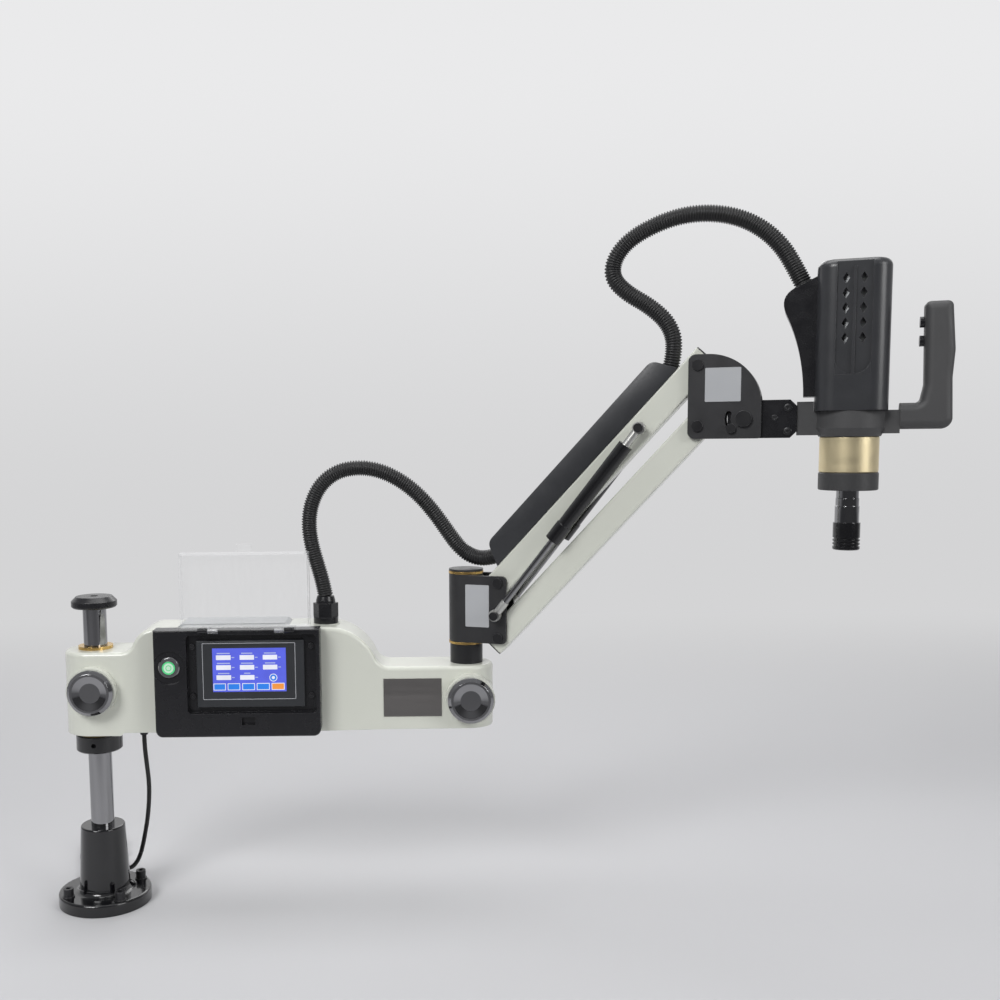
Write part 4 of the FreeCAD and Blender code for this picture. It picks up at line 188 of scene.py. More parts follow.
# Lower arm: an aluminium casting, filled, smoothed and enamelled cream, that turns on two flanged bronze bushes.
# Chromed dished knobs lock it to the column and the elbow. Its box holds the servo driver under a painted steel
# plate. The hose leaves through a moulded gland on top, and the mains cord through one below.
# Cream enamel: even and half glossy, with a thin clear coat
cream_enamel = finish("cream_enamel", "D5D7CD", 0.26, grain=(1.111, 0.01), uneven=0.01, tone=0.004, Coat_Weight=0.35,
                      Coat_Roughness=0.12)
# Bearing bronze: warm yellow, turned, with fine rings round it
bearing_bronze = finish("bearing_bronze", "D4B16F", 0.24, 1.0, grain=(0.667, 0.03), edge=0.4,
                        stretch=(0.06, 0.06, 3))
# Grey paint on a steel plate
grey_paint = finish("grey_paint", "A2A4A6", 0.34, grain=(0.833, 0.06), edge=0.4)
# Brushed aluminium: grey, with its lines along the arm
brushed_aluminium = finish("brushed_aluminium", "8E8B89", 0.34, 1.0, grain=(1.111, 0.05), edge=0.1,
                           stretch=(0.03, 1, 4))
# Cast aluminium cases of the driver and of the motor, out of sight
cast_aluminium = finish("cast_aluminium", "A6A8AA", 0.42, 0.8, grain=(1.429, 0.1))
coat(cream_enamel, "lower_arm_casting")
coat(bearing_bronze, "column_bushes")
coat(hard_chrome, "column_lock_knob", "elbow_lock_knob")
coat(grey_paint, "access_plate")
coat(brushed_aluminium, "nameplate")
coat(cast_aluminium, "servo_driver")
coat(moulded_abs, "hose_gland", "cord_inlet")

# Operator panel: a black moulding screwed to the casting's front, with a well for the touch screen, a lamp recess
# and a lower fascia. The screen's frame is moulded too. Its display is lit from behind under glass.
# Screen frame: ABS with a grey bloom
screen_abs = finish("screen_abs", "303235", 0.33, grain=(0.556, 0.05))
# Bright steel: ground and polished, unplated
bright_steel = finish("bright_steel", "BCBCBD", 0.26, 1.0, grain=(0.556, 0.04), edge=0.3)
coat(moulded_abs, "control_panel", "latch_catch")
coat(screen_abs, "touch_screen")
coat(blackened_steel, "panel_screws")


def lit(name, code, strength):
    """A surface lit from behind, with a slight unevenness of the light over 17 mm."""
    color = linear(code)
    material, tree, shader = bare_surface(name, [c * 0.06 for c in color], 0.22, 0.0, {})
    glow = add_node(tree, "Mix", {"Factor": patches(tree, 16.67, 2.0, 0, 1), "A": (*[c * 0.9 for c in color], 1),
                                  "B": (*color, 1)}, data_type="RGBA")
    tree.links.new(glow.outputs["Result"], shader.inputs["Emission Color"])
    shader.inputs["Emission Strength"].default_value = strength
    return material


lit_display = lit("lit_display", "5F6AE7", 0.95)
lit_white = lit("lit_white", "EFF1FC", 0.95)
lit_pale = lit("lit_pale", "BCC8F6", 0.8)
lit_blue = lit("lit_blue", "3081E7", 1.0)
lit_amber = lit("lit_amber", "ED9545", 1.0)
coat(lit_display, "screen_glass")


def mm(*values):
    return Vector([value / 1000 for value in values])


FACING_FRONT = (math.pi / 2, 0, 0)


def begin(add, **settings):
    """Adds a primitive alone, with its size and place in its mesh, and opens it with all of it selected."""
    bpy.ops.object.select_all(action="DESELECT")
    add(**settings)
    bpy.ops.object.transform_apply(location=True, rotation=True, scale=True)
    bpy.ops.object.mode_set(mode="EDIT")
    bpy.ops.mesh.select_mode(type="VERT")
    bpy.ops.mesh.select_all(action="SELECT")
    return bpy.context.object


def pull(across, away, up):
    """Extrudes what is selected by these millimetres."""
    bpy.ops.mesh.extrude_region_move(TRANSFORM_OT_translate={"value": tuple(mm(across, away, up))})


def settle(name, material, body, turn=None, smooth=True):
    """Closes the open shape as a finished piece, in place and shaded, that rides on its body."""
    bpy.ops.mesh.select_all(action="SELECT")
    bpy.ops.mesh.normals_make_consistent(inside=False)
    bpy.ops.object.mode_set(mode="OBJECT")
    made = bpy.context.object
    if turn is not None:
        made.matrix_world = turn
        bpy.ops.object.transform_apply(location=True, rotation=True, scale=True)
    if smooth:
        bpy.ops.object.shade_smooth_by_angle(angle=math.radians(38))
    made.name = name
    made.data.name = name
    made.data.materials.append(material)
    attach(made, body)
    return made


def plates(rectangles, corner, steps, near, far):
    """Flat plates with rounded corners in one piece, each as left, right, low, high, from near to far."""
    for i, (left, right, low, high) in enumerate(rectangles):
        middle = mm((left + right) / 2, near, (low + high) / 2)
        if i == 0:
            begin(bpy.ops.mesh.primitive_plane_add, size=1, location=middle, rotation=FACING_FRONT)
        else:
            bpy.ops.mesh.primitive_plane_add(size=1, location=middle, rotation=FACING_FRONT)
        bpy.ops.transform.resize(value=((right - left) / 1000, 1, (high - low) / 1000), center_override=middle)
        bpy.ops.mesh.bevel(offset=corner / 1000, segments=steps, affect="VERTICES")
        bpy.ops.mesh.select_linked()
        pull(0, far - near, 0)


# What the display shows: three columns of value fields, each with a line over and beside it where words would be,
# a dial, and a row of keys. The marks are films 0.04 mm thick, as a printed screen has, stacked 0.06 mm apart.
GLASS_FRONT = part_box("screen_glass")[0].y * 1000
FILM = 0.04
LAYER = 0.06
COLUMNS = ((165.6, 184), (195.2, 213.2), (224.1, 242.1))
ROWS = ((333.6, 339.6), (321, 327), (308.2, 314.2))
CAPTION_ENDS = (0, 1, 0.5, 0, 0.5, 1.5, 1, 4)
KEYS = [(left, right, 295, 303.8)
        for left, right in ((161.6, 177), (179.4, 195), (197.6, 213.4), (215.8, 232), (234.4, 250.6))]
fields = [(left, right, low, high) for low, high in ROWS for left, right in COLUMNS][:8]
captions = [(left + 1 + end, right - 1 - end, high + 1.6, high + 3.0)
            for (left, right, _, high), end in zip(fields, CAPTION_ENDS)]
captions += [(right + 1, right + 4.5, low + 2.4, low + 3.6) for _, right, low, _ in fields]
faces_of_keys = [(left + 0.8, right - 0.8, low + 0.8, high - 0.8) for left, right, low, high in KEYS]
for name, marks, corner, material, layer in (
        ("screen_fields", fields, 0.5, lit_white, 1), ("screen_captions", captions, 0.4, lit_pale, 1),
        ("screen_key_rims", KEYS, 0.5, lit_white, 1), ("screen_keys", faces_of_keys[:4], 0.5, lit_blue, 2),
        ("screen_stop_key", faces_of_keys[4:], 0.5, lit_amber, 2)):
    front = GLASS_FRONT - LAYER * layer
    plates(marks, corner, 3, front, front + FILM)
    settle(name, material, "lower_arm")
for name, radius, material, layer in (("screen_dial_rim", 5.0, lit_white, 1), ("screen_dial", 4.1, lit_blue, 2),
                                      ("screen_dial_mark", 2.0, lit_white, 3)):
    begin(bpy.ops.mesh.primitive_cylinder_add, vertices=32, radius=radius / 1000, depth=FILM / 1000,
          location=mm(236.8, GLASS_FRONT - LAYER * layer + FILM / 2, 310.6), rotation=FACING_FRONT)
    settle(name, material, "lower_arm")

# Trim line of the screen's frame: a raised silver bead, 0.9 mm wide, printed round the display
FRAME_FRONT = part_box("touch_screen")[0].y * 1000
BEAD = 0.9
BEAD_HIGH = 0.378
silver_print = finish("silver_print", "ADAFB3", 0.32, grain=(1.111, 0.02))
bead_middle = mm(206.65, FRAME_FRONT, 319.1)
begin(bpy.ops.mesh.primitive_plane_add, size=1, location=bead_middle, rotation=FACING_FRONT)
bpy.ops.transform.resize(value=((115.7 + BEAD) / 1000, 1, (71.2 + BEAD) / 1000), center_override=bead_middle)
bpy.ops.mesh.bevel(offset=(0.8 + BEAD / 2) / 1000, segments=3, affect="VERTICES")
bpy.ops.mesh.select_linked()
for wide, rise in ((0.2, BEAD_HIGH), (0.6, 0), (0.2, -BEAD_HIGH)):
    bpy.ops.mesh.inset(thickness=wide * BEAD / 1000, depth=rise / 1000)
bpy.ops.mesh.delete(type="FACE")
settle("screen_trim_line", silver_print, "lower_arm")

# Power button: a polished steel push button in a chromed ring, with a green ring lit round a pale sign
lit_green = lit("lit_green", "59CE86", 1.0)
lit_core = lit("lit_core", "C5E7CE", 0.95)
BUTTON_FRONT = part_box("power_button")[0].y * 1000
coat(hard_chrome, "button_ring")
coat(bright_steel, "power_button")
for name, inner, outer, seat, rise, material in (("power_light", 6.3, 8.2, 0, 0.2, lit_green),
                                                 ("power_glow", 0.1, 6.2, 0, 0.12, lit_core),
                                                 ("power_mark", 2.7, 3.7, 0.12, 0.1, lit_green)):
    middle = (107, BUTTON_FRONT - seat, 325)
    begin(bpy.ops.mesh.primitive_circle_add, vertices=48, radius=outer / 1000, location=mm(*middle),
          rotation=FACING_FRONT)
    pull(0, -rise, 0)
    pull(0, 0, 0)
    bpy.ops.transform.resize(value=(inner / outer,) * 3, center_override=mm(middle[0], middle[1] - rise, middle[2]))
    pull(0, rise, 0)
    settle(name, material, "power_button", smooth=False)

# Cover: a shallow tray moulded in clear acrylic that hinges over the panel on two bright steel pins, shown open.
# Clear acrylic: seen through, with brighter edges where it is looked along and fine wiping scratches of 6 mm


def clear_sheet():
    material, tree, shader = bare_surface("clear_acrylic", linear("F7F8F9"), 0.04, 0.0, {"IOR": 1.49})
    facing = add_node(tree, "LayerWeight", {"Blend": 0.20}).outputs["Facing"]
    rim = add_node(tree, "MapRange", {"Value": facing, "To Min": 0.05, "To Max": 0.60}).outputs["Result"]
    scratches = patches(tree, 6.25, 6.0, 0.0, 0.015, (1, 1, 0.2))
    cover = add_node(tree, "Math", {0: rim, 1: scratches}, operation="ADD").outputs["Value"]
    tree.links.new(cover, shader.inputs["Alpha"])
    rounded = add_node(tree, "Bevel", {"Radius": 0.0008}, samples=4).outputs["Normal"]
    tree.links.new(rounded, shader.inputs["Normal"])
    return material


coat(clear_sheet(), "clear_cover")
coat(bright_steel, "cover_hinge_pins")

# Elbow: a chromed shaft fixed in the casting, with a blackened spacer below and a coated cap on top. A welded steel
# bracket with two cheeks turns round it on bronze bushes. Headed pins in the cheeks carry the two bars.
# Powder coat: charcoal, dull, with the fine pebbling that baked powder leaves, and greyer rubbed edges
powder_coat = finish("powder_coat", "2B2B2D", 0.40, grain=(0.5263, 0.10), uneven=0.1, wear="555557")
# Foil that stands where printed labels are, silver grey and bare
label_foil = finish("label_foil", "B1B3B6", 0.34, grain=(1.429, 0.02), tone=0.03, edge=0.1, wear="AAAAAA")
coat(hard_chrome, "elbow_shaft")
coat(blackened_steel, "elbow_post", "elbow_end_screws", "rear_pivot_pins")
coat(powder_coat, "elbow_cap", "elbow_bracket")
coat(bearing_bronze, "elbow_bushes")
# The swung upper arm's own frame: x out from the elbow's axis, y away, z up
ARM = Matrix.Translation((0.482, 0, 0)) @ Matrix.Rotation(math.radians(-20), 4, "Z")
CHEEK_FACE = -22.0
LABEL_THICK = 0.35


def bare_label(name, left, right, low, high, body):
    plates([(left, right, low, high)], 1.2, 4, CHEEK_FACE - LABEL_THICK, CHEEK_FACE + 0.05)
    settle(name, label_foil, body, ARM)


bare_label("elbow_blank_plate", 5.5, 36.5, 366.5, 420.5, "elbow")

# Bars: two cream box sections of welded steel, side by side as a parallelogram, that end in pressed steel caps
LIFT = Matrix.Rotation(math.radians(-47.7), 4, "Y")
PIVOT_OUT = 47.8
LOWER_BAR = ARM @ Matrix.Translation(mm(PIVOT_OUT, 0, 353.2)) @ LIFT
UPPER_BAR = ARM @ Matrix.Translation(mm(PIVOT_OUT, 0, 423.7)) @ LIFT
LINK_LONG = 357
BAR_OVER = 13.6
CAP_THICK = 1.5
coat(cream_enamel, "lower_bar", "upper_bar")
for bar, body in ((LOWER_BAR, "lower_bar"), (UPPER_BAR, "upper_bar")):
    for end, along in (("rear", -BAR_OVER - CAP_THICK / 2), ("front", LINK_LONG + BAR_OVER + CAP_THICK / 2)):
        plates([(-16.2, 16.2, -15.2, 15.2)], 2.2, 5, -CAP_THICK / 2, CAP_THICK / 2)
        settle("%s_%s_cap" % (body, end), blackened_steel, body,
               bar @ Matrix.Translation(mm(along, 0, 0)) @ Matrix.Rotation(math.radians(90), 4, "Z"))

# Cable duct: a folded cover along the upper bar, clipped over the hoses' wires, of the same moulding as the motor's
# housing. Its ends are round, and both top edges have a wide bevel along the middle.
# Satin ABS: charcoal with a soft sheen and greyer rubbed edges
satin_abs = finish("satin_abs", "303134", 0.36, grain=(0.5263, 0.03), uneven=0.05, edge=0.8, wear="454548",
                   Coat_Weight=0.3, Coat_Roughness=0.22)
coat(powder_coat, "cable_duct")
DUCT_SEAT = 15.6
DUCT_TOP = 45
DUCT_HALF = 16.5
DUCT_BEVEL = 7
DUCT_ROUND = 1.1
DUCT_SHARP = 0.5
BEVEL_RUNS = ((105, 85), (250, 268))
NEAR = 0.00002


def bend(start, corner, end, steps=8):
    """Points of a smooth bend from start to end, drawn towards the corner."""
    points = []
    for i in range(steps + 1):
        t = i / steps
        points.append(tuple(a * (1 - t) ** 2 + 2 * c * t * (1 - t) + b * t * t for a, c, b in zip(start, corner, end)))
    return points


def cut_sheet(outline, near, far):
    """A round sheet trimmed to this outline of (across, up), and as thick as from near to far."""
    made = begin(bpy.ops.mesh.primitive_circle_add, vertices=len(outline), radius=0.01, fill_type="NGON")
    bpy.ops.object.mode_set(mode="OBJECT")
    for vertex, (across, up) in zip(made.data.vertices, outline):
        vertex.co = mm(across, near, up)
    bpy.ops.object.mode_set(mode="EDIT")
    bpy.ops.mesh.select_all(action="SELECT")
    pull(0, far - near, 0)
    return made


def pick(made, kind, test):
    """Selects the VERT, EDGE or FACE parts of the open shape that pass the test, and nothing else."""
    bpy.ops.mesh.select_mode(type=kind)
    bpy.ops.mesh.select_all(action="DESELECT")
    work = bmesh.from_edit_mesh(made.data)
    for part in {"VERT": work.verts, "EDGE": work.edges, "FACE": work.faces}[kind]:
        if test(part):
            part.select_set(True)
    bmesh.update_edit_mesh(made.data)


def on_rim(vertex):
    return (abs(vertex.co.z - DUCT_TOP / 1000) < NEAR and abs(abs(vertex.co.y) - DUCT_HALF / 1000) < NEAR
            and BEVEL_RUNS[0][0] / 1000 - NEAR < vertex.co.x < BEVEL_RUNS[1][0] / 1000 + NEAR)


duct = cut_sheet([(14, DUCT_SEAT)] + bend((24.7, 38), (28, DUCT_TOP), (37, DUCT_TOP))
                 + bend((317, DUCT_TOP), (325.8, DUCT_TOP), (329, 38)) + [(339.5, DUCT_SEAT)], -DUCT_HALF, DUCT_HALF)
for cut, reach in BEVEL_RUNS:
    bpy.ops.mesh.select_all(action="SELECT")
    bpy.ops.mesh.bisect(plane_co=mm(cut, 0, 0), plane_no=(1, 0, 0), threshold=0.00001)
pick(duct, "EDGE", lambda edge: all(on_rim(vertex) for vertex in edge.verts))
bpy.ops.mesh.bevel(offset=DUCT_BEVEL / 1000, segments=1, affect="EDGES", loop_slide=False)
for cut, reach in BEVEL_RUNS:
    pick(duct, "VERT", lambda vertex: on_rim(vertex) and abs(vertex.co.x - cut / 1000) < NEAR)
    bpy.ops.transform.translate(value=mm(reach - cut, 0, 0))
bpy.ops.mesh.select_all(action="SELECT")
bpy.ops.mesh.normals_make_consistent(inside=False)
pick(duct, "EDGE", lambda edge: edge.calc_face_angle(0) > DUCT_SHARP)
bpy.ops.mesh.bevel(offset=DUCT_ROUND / 1000, segments=2, profile=0.6, affect="EDGES", clamp_overlap=True,
                   loop_slide=False)
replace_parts(settle("duct_shell", satin_abs, "upper_bar", UPPER_BAR), "cable_duct")

# Gas springs: one each side of the bars, with an enamelled tube above and a chromed rod below. The eyes at their
# ends are screwed on and zinc plated, and turn on blackened pins.
# Zinc plate: pale grey metal, blurred lights
zinc_plate = finish("zinc_plate", "CECECB", 0.36, 1.0, grain=(0.769, 0.05), edge=0.4)
SPRING_FOOT = mm(46.6, 0, 383.9)
SPRING_HEAD = mm(222.6, 0, 615.8)
coat(stove_enamel, "spring_cylinders")
coat(hard_chrome, "spring_rods")
coat(blackened_steel, "spring_lower_pins", "spring_upper_pins")


def along_spring(point):
    """How far a point lies along the gas spring from its lower pin, in millimetres."""
    return (ARM.inverted() @ point - SPRING_FOOT).dot((SPRING_HEAD - SPRING_FOOT).normalized()) * 1000


for name, first, last in (("spring_cylinders", 266.3, 400), ("spring_rods", -100, 23)):
    mesh = nodes[name].data
    mesh.materials.append(zinc_plate)
    for face in mesh.polygons:
        if first < along_spring(face.center) < last:
            face.material_index = 1

# Front bracket: two laser-cut plates, coated as the elbow is, with a spacer and headed pins between them. It stays
# upright as the bars rise. The head tilts on its large pin, and a screw in an arc slot locks it.
coat(powder_coat, "bracket_plate_near", "bracket_plate_far", "bracket_spacer")
coat(blackened_steel, "front_pivot_pins", "tilt_pin", "tilt_lock_screw")
bare_label("front_blank_plate", 296.5, 336.5, 645, 684, "front_bracket")

# Head bar: a black bar from the bracket to the clamp ring that holds the motor. Two socket screws fix the ring.
# The clamp and the grip are of one grey moulding, matt and grained so that it doesn't slip.
grip_abs = finish("grip_abs", "454546", 0.52, grain=(0.588, 0.16), uneven=0.06, wear="616161")
coat(moulded_abs, "head_bar")
coat(grip_abs, "head_clamp")
HEAD_OUT = 454.3
HEAD_BAR_FACE = -16.7
CROWN = 0.5


def socket_screw(name, across, up, dia, high, socket):
    """A low round head with a six-sided socket, on the head bar's face."""
    top = mm(across, HEAD_BAR_FACE - high, up)
    made = begin(bpy.ops.mesh.primitive_circle_add, vertices=32, radius=dia / 2000,
                 location=mm(across, HEAD_BAR_FACE, up), rotation=FACING_FRONT)
    pull(0, -high * 0.7, 0)
    pull(0, -high * 0.3, 0)
    bpy.ops.transform.resize(value=(1 - 2 * CROWN / dia,) * 3, center_override=top)
    bpy.ops.mesh.primitive_circle_add(vertices=6, radius=socket / 2000, location=top,
                                      rotation=(math.pi / 2, math.pi / 6, 0))
    pick(made, "EDGE", lambda edge: all(abs(vertex.co.y - top.y) < NEAR for vertex in edge.verts))
    bpy.ops.mesh.fill()
    pick(made, "EDGE", lambda edge: all((vertex.co - top).length < socket / 2000 + NEAR for vertex in edge.verts))
    pull(0, high * 0.65, 0)
    bpy.ops.mesh.edge_face_add()
    settle(name, blackened_steel, "head", ARM)


socket_screw("head_bar_screw_0", 388, 637, 9, 1.2, 4.6)
socket_screw("head_bar_screw_1", 388, 610, 9, 1.2, 4.6)
socket_screw("head_bar_boss", 373.7, 625.8, 6.5, 0.5, 4)

# Motor's housing: a satin moulding over the servo motor, with vents in a long recess that is rounded at its foot
coat(satin_abs, "motor_housing")
coat(cast_aluminium, "servo_motor")
RECESS_HALF = 18.5
RECESS_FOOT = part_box("motor_housing")[0].z * 1000 + 39.5
for side, hand in ((-1, "left"), (1, "right")):
    turns = [math.radians(270 + side * 82 * i / 12) for i in range(1, 13)]
    cut_sheet([(HEAD_OUT + side * RECESS_HALF, RECESS_FOOT)]
              + [(HEAD_OUT + RECESS_HALF * math.cos(turn), RECESS_FOOT + RECESS_HALF * (1 + math.sin(turn)))
                 for turn in turns], -38.45, -36.4)
    settle("recess_corner_" + hand, satin_abs, "head", ARM)

# Terminal box: moulded with a rounded shoulder, where the hose enters, and a hollow side
coat(powder_coat, "terminal_box")
shoulder = bend((391.5, 769.5), (375.5, 760), (383.5, 741.5))
hollow = bend((383.5, 741.5), (403.3, 701), (403.8, 648.5), 12)[1:]
cut_sheet([(417, 648.5), (417, 782)] + shoulder + hollow, -22, 22)
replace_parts(settle("terminal_shell", moulded_abs, "head", ARM), "terminal_box")

# Reducer: a turned aluminium ring, anodised champagne, with a grey nose under it. The chromed spindle turns in it
# and carries the quick-change tap holder, an enamelled sleeve with grip rings.
# Champagne anodising: pale gold with a soft band of light and fine turning lines
champagne_anodised = finish("champagne_anodised", "ECDDB6", 0.40, 1.0, grain=(0.4167, 0.012), uneven=0.06, tone=0.03,
                            edge=0.5, stretch=(0.04, 0.04, 3))
# Grey anodising, dull
grey_anodised = finish("grey_anodised", "3A3A3B", 0.44, grain=(0.588, 0.06))
coat(champagne_anodised, "reducer_ring")
coat(grey_anodised, "nose_ring")
coat(hard_chrome, "spindle")
coat(stove_enamel, "tap_collet")

# Grip: moulded in two halves round the clamp's arm, with two black push buttons under the thumb
coat(grip_abs, "handle_grip")
coat(moulded_abs, "start_button", "reverse_button")

# Hoses: black ribbed polyamide over the wires. One goes over the elbow and into the duct, and one leaves the duct
# for the motor's terminal box. Their ribs are 3.1 mm apart and 1.4 mm deep.
# Polyamide: black, dull, with a line of light on each rib
polyamide = finish("polyamide", "222223", 0.42, grain=(0.833, 0.05), edge=0.3)
coat(polyamide, "lower_hose", "upper_hose")
HOSE_CREST = 0.010
HOSE_ROOT = 0.0086
RIB = 0.0031
RIB_FORM = ((0.0, HOSE_ROOT), (0.22, HOSE_ROOT), (0.36, HOSE_CREST), (0.72, HOSE_CREST), (0.86, HOSE_ROOT))


def in_arm(out, level):
    return ARM @ mm(out, 0, level)


def spline_line(name, points):
    """The points that a smooth spline with these control points gives."""
    curve = bpy.data.curves.new(name, "CURVE")
    curve.dimensions = "3D"
    curve.resolution_u = 16
    spline = curve.splines.new("NURBS")
    spline.points.add(len(points) - 1)
    for control, point in zip(spline.points, points):
        control.co = (*point, 1)
    spline.order_u = 3
    spline.use_endpoint_u = True
    helper = bpy.data.objects.new(name, curve)
    bpy.context.scene.collection.objects.link(helper)
    bpy.context.view_layer.update()
    mesh = bpy.data.meshes.new_from_object(helper)
    line = [vertex.co.copy() for vertex in mesh.vertices]
    bpy.data.objects.remove(helper)
    bpy.data.meshes.remove(mesh)
    bpy.data.curves.remove(curve)
    return line


def spaced(line, distances):
    """The points at these distances along a line."""
    out = []
    walked = 0.0
    i = 0
    for distance in distances:
        while i < len(line) - 2 and walked + (line[i + 1] - line[i]).length < distance:
            walked += (line[i + 1] - line[i]).length
            i += 1
        run = (line[i + 1] - line[i]).length
        share = min(1.0, max(0.0, (distance - walked) / run))
        out.append(line[i].lerp(line[i + 1], share))
    return out


def line_length(line):
    return sum((b - a).length for a, b in zip(line, line[1:]))


def soft_mesh(name, vertices, faces, material):
    """A smooth mesh of these points and faces."""
    mesh = bpy.data.meshes.new(name)
    mesh.from_pydata(vertices, [], faces)
    mesh.validate()
    mesh.update()
    mesh.shade_smooth()
    mesh.materials.append(material)
    made = bpy.data.objects.new(name, mesh)
    bpy.context.scene.collection.objects.link(made)
    return made


def tube(name, centres, radii, sides, material):
    """A closed tube of rings on these centres, turned as little as may be from ring to ring."""
    vertices = []
    faces = []
    side = None
    for i, centre in enumerate(centres):
        ahead = (centres[min(i + 1, len(centres) - 1)] - centres[max(i - 1, 0)]).normalized()
        if side is None:
            side = ahead.orthogonal().normalized()
        side = (side - ahead * side.dot(ahead)).normalized()
        other = ahead.cross(side)
        for k in range(sides):
            angle = 2 * math.pi * k / sides
            vertices.append(centre + (side * math.cos(angle) + other * math.sin(angle)) * radii[i])
    for i in range(len(centres) - 1):
        for k in range(sides):
            a = i * sides + k
            b = i * sides + (k + 1) % sides
            faces.append((a, b, b + sides, a + sides))
    faces.append(tuple(range(sides))[::-1])
    last = (len(centres) - 1) * sides
    faces.append(tuple(last + k for k in range(sides)))
    return soft_mesh(name, vertices, faces, material)


def hose_part(name, line, node):
    long = line_length(line)
    ribs = max(3, round(long / RIB))
    distances = [(i + share) * long / ribs for i in range(ribs) for share, _ in RIB_FORM] + [long]
    radii = [radius for _ in range(ribs) for _, radius in RIB_FORM] + [HOSE_ROOT]
    centres = spaced(line, distances)
    made = tube(name, centres, radii, 22, polyamide)
    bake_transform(made)
    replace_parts(made, node)


def split_at(line, middle):
    i = min(range(len(line)), key=lambda k: (line[k] - middle).length)
    return line[:i + 1], line[i:]


lower_route = [mm(x, 0, z) for x, z in (
    (300, 405), (296.5, 424), (290, 447), (283, 472), (280, 498), (283.5, 524), (295.5, 548.5), (317, 565.5),
    (345, 570.5), (373, 566), (399, 553), (423, 533.5), (443, 509.5), (460, 484.5))]
lower_route += [in_arm(out, level) for out, level in ((-7, 463.5), (10, 453.5), (27, 452), (40, 456))]
upper_route = [in_arm(out, level) for out, level in (
    (254.6, 685.5), (260.5, 712), (252, 739), (229.5, 760), (202, 776.5), (184.5, 795), (186.5, 817), (203.5, 838.5),
    (236, 855), (270, 863.5), (304, 862.5), (334, 854), (358.5, 839), (376.5, 820.5), (389.5, 799.5), (403, 772.5))]
lower_first, lower_last = split_at(spline_line("lower_route", lower_route), mm(428, 0, 527))
upper_first, upper_last = split_at(spline_line("upper_route", upper_route), in_arm(190, 806))
hose_part("lower_hose_rise", lower_first, "lower_hose")
hose_part("lower_hose_fall", lower_last, "lower_hose")
hose_part("upper_hose_rise", upper_first,
          "upper_hose")
hose_part("upper_hose_fall", upper_last, "upper_hose")

# Mains cord: round PVC cord, 6 mm, from the arm's underside past the base to a folded hank with a moulded tie round
# its waist and a moulded plug. It goes in three pieces that meet.
# PVC: black, dull and slightly uneven
cord_pvc = finish("cord_pvc", "191919", 0.44, grain=(0.667, 0.08), edge=0.2)
coat(cord_pvc, "mains_cord", "mains_hank")
coat(moulded_abs, "mains_plug")
HANK_TURN = Matrix.Rotation(math.radians(105.66), 4, "Z")
HANK = HANK_TURN @ Matrix.Translation(mm(146.5, 1.6, 0))
CORD = 0.006
WAIST = math.radians(3)
HALF_RUN = 56
LANES = [-(-1) ** k * (30 - k * 3.25) for k in range(5)]
FLOOR_LAYER = 3
TOP_LAYER = 9.5


def fold_points(end, lane, following, level):
    """A hank's fold: points round it, and one on each run, as far off as they are from each other."""
    turn_radius = (abs(lane) + abs(following)) / 2 / math.cos(WAIST)
    middle = (lane + following) / 2
    half_step = math.radians(93 / 5)
    out_from_centre = turn_radius / math.cos(half_step)
    turn = 1 if lane > 0 else -1
    points = []
    for step in (2, 1, 0, -1, -2):
        angle = 2 * step * half_step
        points.append((end * (HALF_RUN + out_from_centre * math.cos(angle)),
                       middle + turn * out_from_centre * math.sin(angle), level))
    gap = 2 * turn_radius * math.tan(half_step)
    before = (points[0][0] - end * gap * math.cos(WAIST), points[0][1] - turn * gap * math.sin(WAIST), level)
    after = (points[-1][0] - end * gap * math.cos(WAIST), points[-1][1] + turn * gap * math.sin(WAIST), level)
    return [before, *points, after]


def cut_line(line, levels):
    """The line in parts, cut where it first comes down to each level."""
    parts = []
    rest = list(line)
    for level in levels:
        i = next(i for i, point in enumerate(rest) if point.z < level)
        share = (rest[i - 1].z - level) / (rest[i - 1].z - rest[i].z)
        point = rest[i - 1].lerp(rest[i], share)
        parts.append(rest[:i] + [point])
        rest = [point] + rest[i:]
    return parts + [rest]


drop = [(52, 28, 217.5), (52, 28, 200), (53.3, 32, 173), (54.1, 37.5, 147), (51.7, 44, 120), (47.4, 50, 93),
        (41.5, 56, 68), (35, 63, 44)]
waist_in = HALF_RUN * math.tan(WAIST)
hank = [(-89, -47, 27), (-76, -39.5, 12.5), (-58, -32.5, 4.6), (-42, -29.4, 3),
        (-30, LANES[0] + (HALF_RUN - 30) * math.tan(WAIST), FLOOR_LAYER), (0, LANES[0] + waist_in, FLOOR_LAYER)]
for k in range(4):
    hank += fold_points((-1) ** k, LANES[k], LANES[k + 1], FLOOR_LAYER)
    side = 1 if LANES[k + 1] > 0 else -1
    if k < 3:
        hank.append((0, LANES[k + 1] - side * waist_in, FLOOR_LAYER))
hank += [(-HALF_RUN / 2, LANES[4] + waist_in / 2, FLOOR_LAYER), (HALF_RUN / 2, LANES[4] + waist_in / 2, TOP_LAYER)]
for k in (4, 3, 2):
    hank += fold_points((-1) ** k, LANES[k], LANES[k - 1], TOP_LAYER)
    side = 1 if LANES[k - 1] > 0 else -1
    hank.append((0, LANES[k - 1] - side * waist_in, TOP_LAYER))
tail = [(-22, 24.4, 11.4), (-38, 26, 15.5), (-52, 26.5, 18.3), (-71.8, 26.5, 19.8), (-87, 11.3, 20.2),
        (-87, -10.3, 20.5), (-71.8, -25.5, 20.8), (-56.2, -25.5, 21.1), (-41.6, -18, 21.4), (-33.4, -4.8, 21.6),
        (-19.8, 3, 21.8), (-8, 3, 21.8)]
route = [mm(*point) for point in drop] + [HANK @ mm(*point) for point in hank + tail]

